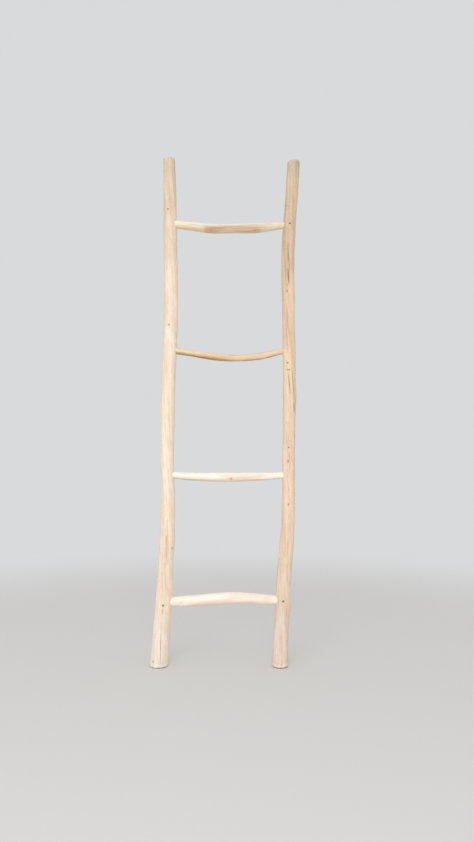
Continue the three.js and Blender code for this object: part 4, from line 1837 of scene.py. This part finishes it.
TOP_RUNG_BRANCH = Branch(
    thickness=RUNG_THICKNESS,
    stations=(
        Station(0, rise=0.215),
        Station(0.12, rise=0.05, back=0.03, stout=0.855),
        Station(0.3, rise=-0.145, back=0.13, stout=0.965),
        Station(0.52, rise=-0.15, back=0.2, stout=0.92),
        Station(0.75, rise=-0.14, back=0.13),
        Station(0.9, rise=-0.01, back=0.05, stout=0.82),
        Station(1, rise=0.065),
    ),
    oval=0.035,
    oval_angle=1.2,
    twist=1.1,
    swellings=(Swelling(0.3, 4.4, 0.04, 0.5),),
    seed=31,
    spiral=-1.5,
    knots=(
        Knot(0.094, turn(315), 5 * MM, Mark.GHOST, 2.0, 0.4 * MM),
        Knot(0.242, turn(318), 5 * MM, Mark.GHOST, 1.8, 0.3 * MM),
        Knot(0.15, turn(100), 4 * MM, Mark.EYE, 1.4, 0.4 * MM),
    ),
    stains=(
        Stain(0.082, 0.15, turn(284), 1.5 * MM, 0.55),
        Stain(0.145, 0.235, turn(288), 1.3 * MM, 0.35),
        Stain(0.09, 0.2, turn(312), 1.6 * MM, 0.3),
        Stain(0.18, 0.262, turn(326), 1.8 * MM, 0.35),
        Stain(0.09, 0.28, turn(110), 2 * MM, 0.25),
    ),
    tints=(
        # A painted highlight of the sky light: the top front whiter and cooler along most of the span
        Tint(0.06, 0.3, turn(228), turn(48), "#EDE9DF", 0.55),
        # Tan wood under the front, partly painted shade of the underside
        Tint(0.08, 0.264, turn(318), turn(68), "#CBA079", 0.87),
        Tint(-0.02, 0.07, turn(340), turn(50), "#DCC49C", 0.55),
        Tint(0.268, 0.34, turn(310), turn(90), "#DED0AC", 0.6),
    ),
    facets=knife_facets(14, RUNG_SPAN, 6, 0.7 * MM),
)

UPPER_RUNG_BRANCH = Branch(
    thickness=RUNG_THICKNESS,
    stations=(
        Station(0, rise=0.085),
        Station(0.15, rise=-0.16, back=-0.03, stout=0.66),
        Station(0.35, rise=-0.505, back=-0.1, stout=0.725),
        Station(0.58, rise=-0.67, back=-0.17, stout=0.66),
        Station(0.8, rise=-0.445, back=-0.1, stout=0.7),
        Station(1, rise=0.04),
    ),
    oval=0.03,
    oval_angle=0.4,
    twist=-1.4,
    swellings=(Swelling(0.37, 5.2, 0.037, 0.47),),
    seed=37,
    spiral=2.0,
    knots=(
        Knot(0.122, turn(330), 3.6 * MM, Mark.GHOST, 1.8, 0.2 * MM),
        Knot(0.215, turn(95), 3.4 * MM, Mark.EYE, 1.4, 0.4 * MM),
    ),
    stains=(Stain(0.1, 0.16, turn(320), 2.2 * MM, 0.3), Stain(0.262, 0.312, turn(325), 2.2 * MM, 0.5)),
    tints=(
        Tint(-0.02, 0.055, turn(270), turn(120), "#EEE0B6", 0.7),
        Tint(0.055, 0.098, turn(235), turn(55), "#F5DECC", 0.65),
        Tint(0.072, 0.16, turn(312), turn(62), "#CD9C60", 0.48),
        Tint(0.15, 0.245, turn(262), turn(62), "#EBCDAB", 0.55),
        Tint(0.25, 0.34, turn(260), turn(110), "#EED4BE", 0.6),
        # Painted shade: the underside darker and browner all along the rung
        Tint(-0.05, 0.37, turn(344), turn(60), "#8C6740", 0.72),
    ),
    facets=knife_facets(17, RUNG_SPAN, 5, 0.6 * MM),
)

LOWER_RUNG_BRANCH = Branch(
    thickness=RUNG_THICKNESS,
    stations=(
        Station(0, rise=0.065),
        Station(0.15, rise=-0.07, back=0.07, stout=0.79),
        Station(0.5, rise=-0.14, back=0.17, stout=0.9),
        Station(0.8, rise=-0.075, back=0.1, stout=0.775),
        Station(1, rise=0.03),
    ),
    oval=0.03,
    oval_angle=2.6,
    twist=0.9,
    swellings=(Swelling(0.55, 4, 0.033, 0.47),),
    seed=41,
    spiral=1.2,
    knots=(
        Knot(0.166, turn(288), 3.4 * MM, Mark.FAINT, 1.1, 0.35 * MM),
        Knot(0.08, turn(80), 3.8 * MM, Mark.EYE, 1.4, 0.4 * MM),
    ),
    stains=(Stain(0.176, 0.23, turn(280), 1.3 * MM, 0.22), Stain(0.03, 0.2, turn(338), 1.8 * MM, 0.2)),
    tints=(
        Tint(0.14, 0.262, turn(290), turn(62), "#F6D9C2", 0.6),
        Tint(-0.02, 0.13, turn(240), turn(90), "#FCFAE8", 0.6),
        # Painted shade: the underside darker all along the rung
        Tint(-0.02, 0.36, turn(348), turn(52), "#C9AA88", 0.52),
    ),
    facets=knife_facets(20, RUNG_SPAN, 5, 0.6 * MM),
)

BOTTOM_RUNG_BRANCH = Branch(
    thickness=RUNG_THICKNESS,
    stations=(
        Station(0, rise=-0.105),
        Station(0.12, rise=-0.075, back=-0.03, stout=1.025),
        Station(0.43, rise=0.16, back=-0.13, stout=1.175),
        Station(0.62, rise=0.275, back=-0.13, stout=1.11),
        Station(0.85, rise=0.14, back=-0.07, stout=0.995),
        Station(1, rise=0.05),
    ),
    oval=0.035,
    oval_angle=0.8,
    twist=-1.2,
    swellings=(Swelling(0.68, 1.6, 0.053, 0.6),),
    seed=43,
    spiral=-1.8,
    knots=(
        Knot(0.207, turn(92), 5 * MM, Mark.EYE, 1.4, 0.5 * MM),
        Knot(0.118, turn(15), 3.4 * MM, Mark.FAINT, 1.5, 0.3 * MM),
    ),
    stains=(Stain(0.2, 0.245, turn(300), 1.8 * MM, 0.32), Stain(0.14, 0.18, turn(290), 1.4 * MM, 0.15)),
    tints=(
        Tint(0.055, 0.168, turn(320), turn(42), "#F4D3C4", 0.62),
        Tint(0.165, 0.29, turn(272), turn(75), "#FAE0C8", 0.55),
        # Painted shade: the underside a little darker all along the rung
        Tint(-0.02, 0.3, turn(355), turn(30), "#E6CDB8", 0.28),
    ),
    facets=knife_facets(23, RUNG_SPAN, 6, 0.7 * MM),
)


class Slot(Enum):
    """The record's slot that a piece takes its finish from."""

    RAIL = "rail_wood"
    PALE_RUNG = "pale_rung_wood"
    HONEY_RUNG = "honey_rung_wood"
    NAIL = "nail_steel"


@dataclass(frozen=True)
class RungPlan:
    """What the maker chose for one rung: its place, its branch, its two tenons and its two nails."""

    name: str
    offset: float
    tenons: tuple[float, float]
    branch: Branch
    nails: tuple[NailPlace, NailPlace]
    wood: PeeledWood
    slot: Slot = Slot.PALE_RUNG

    def whittled(self, span: float = 1.0) -> Branch:
        """The branch between the rails' faces, with the tenons as its thickness at the two ends.

        Args:
            span: The clear span.

        Returns:
            The branch.
        """
        stations = list(self.branch.stations)
        for end, tenon in ((0, self.tenons[0]), (-1, self.tenons[1])):
            stations[end] = replace(stations[end], stout=tenon / self.branch.thickness)
        return replace(self.branch, length=span, stations=tuple(stations))


RUNGS = (
    RungPlan(
        "top_rung",
        0.0,
        (LARGE_TENON, MIDDLE_TENON),
        TOP_RUNG_BRANCH,
        (NailPlace(Face.BACK), NailPlace(Face.FRONT)),
        TOP_RUNG_WOOD,
    ),
    RungPlan(
        "upper_rung",
        -0.38,
        (MIDDLE_TENON, SMALL_TENON),
        UPPER_RUNG_BRANCH,
        (NailPlace(Face.BACK), NailPlace(Face.BACK)),
        HONEY_RUNG_WOOD,
        Slot.HONEY_RUNG,
    ),
    RungPlan(
        "lower_rung",
        -0.32,
        (MIDDLE_TENON, MIDDLE_TENON),
        LOWER_RUNG_BRANCH,
        (NailPlace(Face.BACK), NailPlace(Face.BACK)),
        WHITE_RUNG_WOOD,
    ),
    RungPlan(
        "bottom_rung",
        0.0,
        (LARGE_TENON, LARGE_TENON),
        BOTTOM_RUNG_BRANCH,
        (NailPlace(Face.FRONT, -0.55), NailPlace(Face.FRONT)),
        WHITE_RUNG_WOOD,
    ),
)


@dataclass
class Ladder:
    """The whole ladder: two bored rails, four rungs and eight nails, each in its own place.

    The steps are the spacings of the meshes' rings, and the edges the radii of the rails' worn ends.
    """

    rail_sides: int = 120
    rail_step: float = 3.4 * MM
    rung_sides: int = 96
    rung_step: float = 2.4 * MM
    fine_step: float = 1.4 * MM
    foot_edge: float = 3 * MM
    top_edge: float = 4 * MM
    sharp_angle: float = 40.0

    def rails(self, shift: tuple[float, float]) -> tuple[Rail, Rail]:
        """The two rails.

        Args:
            shift: How far the frame has them from their own lines.

        Returns:
            The left and the right rail.
        """
        sizes = (self.rail_sides, self.rail_step, self.fine_step, self.foot_edge, self.top_edge)
        left = Rail("left_rail_wood", LEFT_BRANCH, 0.0, RAIL_LENGTH, *sizes, Side.LEFT, shift)
        right = Rail("right_rail_wood", RIGHT_BRANCH, 0.0, RIGHT_RAIL_LENGTH, *sizes, Side.RIGHT, shift)
        return left, right

    def joints(self, plan: RungPlan, height: float, rails: tuple[Rail, Rail]) -> list[Joint]:
        """A rung's two joints.

        Args:
            plan: The rung's plan.
            height: Its height.
            rails: The rails.

        Returns:
            The joints, from the left.
        """
        branch = plan.whittled()
        made = []
        for rail, tenon, nail, share in zip(rails, plan.tenons, plan.nails, (0.0, 1.0)):
            up = height + float(branch.wander("rise", np.asarray(share)))
            name = f"{plan.name}_{rail.side.label()}"
            made.append(Joint(name, rail, up, tenon / 2, nail))
        return made

    def heights(self) -> list[float]:
        """The rungs' heights.

        Returns:
            The heights, from the top one.
        """
        top = RAIL_LENGTH - TOP_RUNG_DROP
        pitch = (top - BOTTOM_RUNG_HEIGHT) / (len(RUNGS) - 1)
        return [top - k * pitch + plan.offset * plan.branch.thickness for k, plan in enumerate(RUNGS)]

    def shift(self) -> tuple[float, float]:
        """Finds how far the frame's ladder stands from the rails' own lines, by its first nail.

        Returns:
            How far it stands to the right and to the back.
        """
        joint = self.joints(RUNGS[0], self.heights()[0], self.rails((0.0, 0.0)))[0]
        low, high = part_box(f"nail_{joint.name}")
        return (low.x + high.x) / 2 - joint.head[0], high.y - joint.head[1]

    def finish(self, piece: Object, node: str, material: Material) -> None:
        """Gives a piece its material and puts it in the place of its node.

        Args:
            piece: The piece.
            node: The node that it replaces.
            material: Its material.
        """
        piece.data.materials.clear()
        piece.data.materials.append(material)
        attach(piece, "root")
        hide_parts(node)
        LOG.info("%s: %d faces, in the place of %s", piece.name, len(piece.data.polygons), node)

    def dress(self, log: Log, piece: Object, joints: list[Joint]) -> None:
        """Cuts the nails' holes into a log and writes its grain.

        Args:
            log: The log.
            piece: Its object.
            joints: The joints whose nails pass through it.
        """
        carve(piece, "nail_holes", [Nail(joint).hole() for joint in joints])
        log.write_grain(piece)
        piece.data.set_sharp_from_angle(angle=math.radians(self.sharp_angle))

    def build_rail(self, rail: Rail, joints: list[Joint], wood: Material) -> None:
        """Makes a rail with its mortises.

        Args:
            rail: The rail.
            joints: Its joints.
            wood: Its material.
        """
        rail.spots = [(joint.head[2], joint.nail_angle) for joint in joints]
        piece = rail.build()
        carve(piece, "mortises", [mortise(joint) for joint in joints])
        self.dress(rail, piece, joints)
        self.finish(piece, f"{rail.side.label()}_rail", wood)

    def build_rung(self, plan: RungPlan, height: float, joints: list[Joint], wood: Material) -> None:
        """Makes a rung that fits between its joints.

        Args:
            plan: The rung's plan.
            height: Its height.
            joints: Its joints, from the left.
            wood: Its material.
        """
        left, right = joints
        branch = plan.whittled(right.mouth - left.mouth)
        low = left.mouth - left.depth + GLUE_SPACE
        high = right.mouth + right.depth - GLUE_SPACE
        sizes = (self.rung_sides, self.rung_step, self.fine_step, TENON_EDGE, TENON_EDGE)
        rung = Rung(f"{plan.name}_wood", branch, low, high, *sizes, height=height, left=left, right=right)
        piece = rung.build()
        self.dress(rung, piece, joints)
        self.finish(piece, plan.name, wood)

    def build(self) -> None:
        """Makes every piece."""
        rail_woods = (LEFT_RAIL_WOOD.build(), RIGHT_RAIL_WOOD.build())
        rung_woods = {wood.name: wood.build() for wood in (TOP_RUNG_WOOD, HONEY_RUNG_WOOD, WHITE_RUNG_WOOD)}
        steel = RustedSteel().build()
        rails = self.rails(self.shift())
        heights = self.heights()
        pairs = [self.joints(plan, height, rails) for plan, height in zip(RUNGS, heights)]
        for k, rail in enumerate(rails):
            self.build_rail(rail, [pair[k] for pair in pairs], rail_woods[k])
        for plan, height, pair in zip(RUNGS, heights, pairs):
            self.build_rung(plan, height, pair, rung_woods[plan.wood.name])
        for joint in (joint for pair in pairs for joint in pair):
            self.finish(Nail(joint).build(), f"nail_{joint.name}", steel)


@dataclass(frozen=True)
class Lamp:
    """One soft rectangular lamp: where it hangs, what it points at, its two sizes and its power in watts."""

    name: str
    place: tuple[float, float, float]
    aim: tuple[float, float, float]
    size: tuple[float, float]
    power: float

    def build(self) -> None:
        """Makes the lamp. It is out of sight, so that no view shows it."""
        data = bpy.data.lights.new(self.name, "AREA")
        data.shape = "RECTANGLE"
        data.size, data.size_y = self.size
        data.energy = self.power
        lamp = bpy.data.objects.new(self.name, data)
        lamp.location = self.place
        x, y, z = (to - start for to, start in zip(self.aim, self.place))
        lamp.rotation_euler = (math.atan2(math.hypot(x, y), -z), 0, math.atan2(y, x) - math.pi / 2)
        lamp.visible_camera = False
        bpy.context.scene.collection.objects.link(lamp)


@dataclass(frozen=True)
class Studio:
    """A plain pale floor, a pale backdrop, soft light and the camera.

    The floor is round, reaches out from the ladder by reach, and takes on the backdrop's colour over fade.
    """

    floor: str = "#DEDDDB"
    floor_roughness: float = 0.9
    floor_sides: int = 96
    backdrop: str = "#D9DADB"
    reach: float = 14.0
    fade: tuple[float, float] = (0.9, 2.6)
    sky: float = 0.735
    sensor_height: float = 36.0
    clip: tuple[float, float] = (0.05, 100.0)
    lamps: tuple[Lamp, ...] = (
        Lamp("high_left_lamp", (-0.9, -4.6, 4.1), (0.0, 0.0, 0.7), (3.6, 3.6), 46.5),
        Lamp("low_front_lamp", (-0.4, -3.0, 0.75), (0.0, 0.0, 0.3), (2.0, 0.9), 24.0),
    )

    def build(self) -> None:
        """Makes the studio."""
        self.make_camera()
        self.make_floor()
        self.make_light()

    def make_camera(self) -> None:
        """The camera, with the field of view that the picture was taken with."""
        data = bpy.data.cameras.new("camera")
        data.sensor_fit = "VERTICAL"
        data.sensor_height = self.sensor_height
        data.lens = FOCAL_LENGTH_PX / IMAGE_HEIGHT * self.sensor_height
        data.clip_start, data.clip_end = self.clip
        camera = bpy.data.objects.new("camera", data)
        camera.location = (CAMERA_ASIDE, -CAMERA_DISTANCE, CAMERA_HEIGHT)
        camera.rotation_euler = (math.pi / 2 + CAMERA_PITCH, 0, 0)
        bpy.context.scene.collection.objects.link(camera)
        bpy.context.scene.camera = camera

    def make_floor(self) -> None:
        """A round floor that runs out into the backdrop's colour."""
        angles = 2 * math.pi * np.arange(self.floor_sides) / self.floor_sides
        rim = [(self.reach * math.cos(t), self.reach * math.sin(t), 0.0) for t in angles]
        mesh = bpy.data.meshes.new("floor")
        mesh.from_pydata(rim, [], [tuple(range(self.floor_sides))])
        # Matt paint, which gives the eye an even ground with soft shadows
        material = bare_material("matt pale studio floor")
        tree = material.node_tree
        place = add(tree, "ShaderNodeTexCoord").outputs["Object"]
        far = add(tree, "ShaderNodeVectorMath", {0: place}, operation="LENGTH").outputs[1]
        fade = {"Value": far, "From Min": self.fade[0], "From Max": self.fade[1]}
        fade = add(tree, "ShaderNodeMapRange", fade, interpolation_type="SMOOTHSTEP").outputs[0]
        seen = add(tree, "ShaderNodeLightPath").outputs["Is Camera Ray"]
        fade = add(tree, "ShaderNodeMath", {0: fade, 1: seen}, operation="MULTIPLY").outputs[0]
        paint = {"Base Color": linear(self.floor), "Roughness": self.floor_roughness}
        paint = add(tree, "ShaderNodeBsdfPrincipled", paint).outputs[0]
        glow = add(tree, "ShaderNodeEmission", {"Color": linear(self.backdrop)}).outputs[0]
        mixed = add(tree, "ShaderNodeMixShader", {0: fade, 1: paint, 2: glow})
        add(tree, "ShaderNodeOutputMaterial", {"Surface": mixed.outputs[0]})
        mesh.materials.append(material)
        new_piece(mesh)

    def make_light(self) -> None:
        """An even sky and the lamps."""
        world = bpy.data.worlds.new("studio")
        bpy.context.scene.world = world
        world.use_nodes = True
        tree = world.node_tree
        tree.nodes.clear()
        rays = add(tree, "ShaderNodeLightPath").outputs
        seen = rays["Is Camera Ray"]
        for other in ("Is Glossy Ray", "Is Transmission Ray"):
            seen = add(tree, "ShaderNodeMath", {0: seen, 1: rays[other]}, operation="MAXIMUM").outputs[0]
        sky = {"Color": (1, 1, 1, 1), "Strength": self.sky}
        sky = add(tree, "ShaderNodeBackground", sky).outputs[0]
        shown = {"Color": linear(self.backdrop), "Strength": 1.0}
        shown = add(tree, "ShaderNodeBackground", shown).outputs[0]
        mixed = add(tree, "ShaderNodeMixShader", {0: seen, 1: sky, 2: shown})
        add(tree, "ShaderNodeOutputWorld", {"Surface": mixed.outputs[0]})
        for lamp in self.lamps:
            lamp.build()
        bpy.context.scene.view_settings.view_transform = "Standard"


def main() -> None:
    """Builds the studio and the ladder."""
    logging.basicConfig(level=logging.INFO, format="%(name)s: %(message)s")
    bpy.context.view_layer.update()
    Studio().build()
    Ladder().build()


if __name__ == "__main__":
    main()
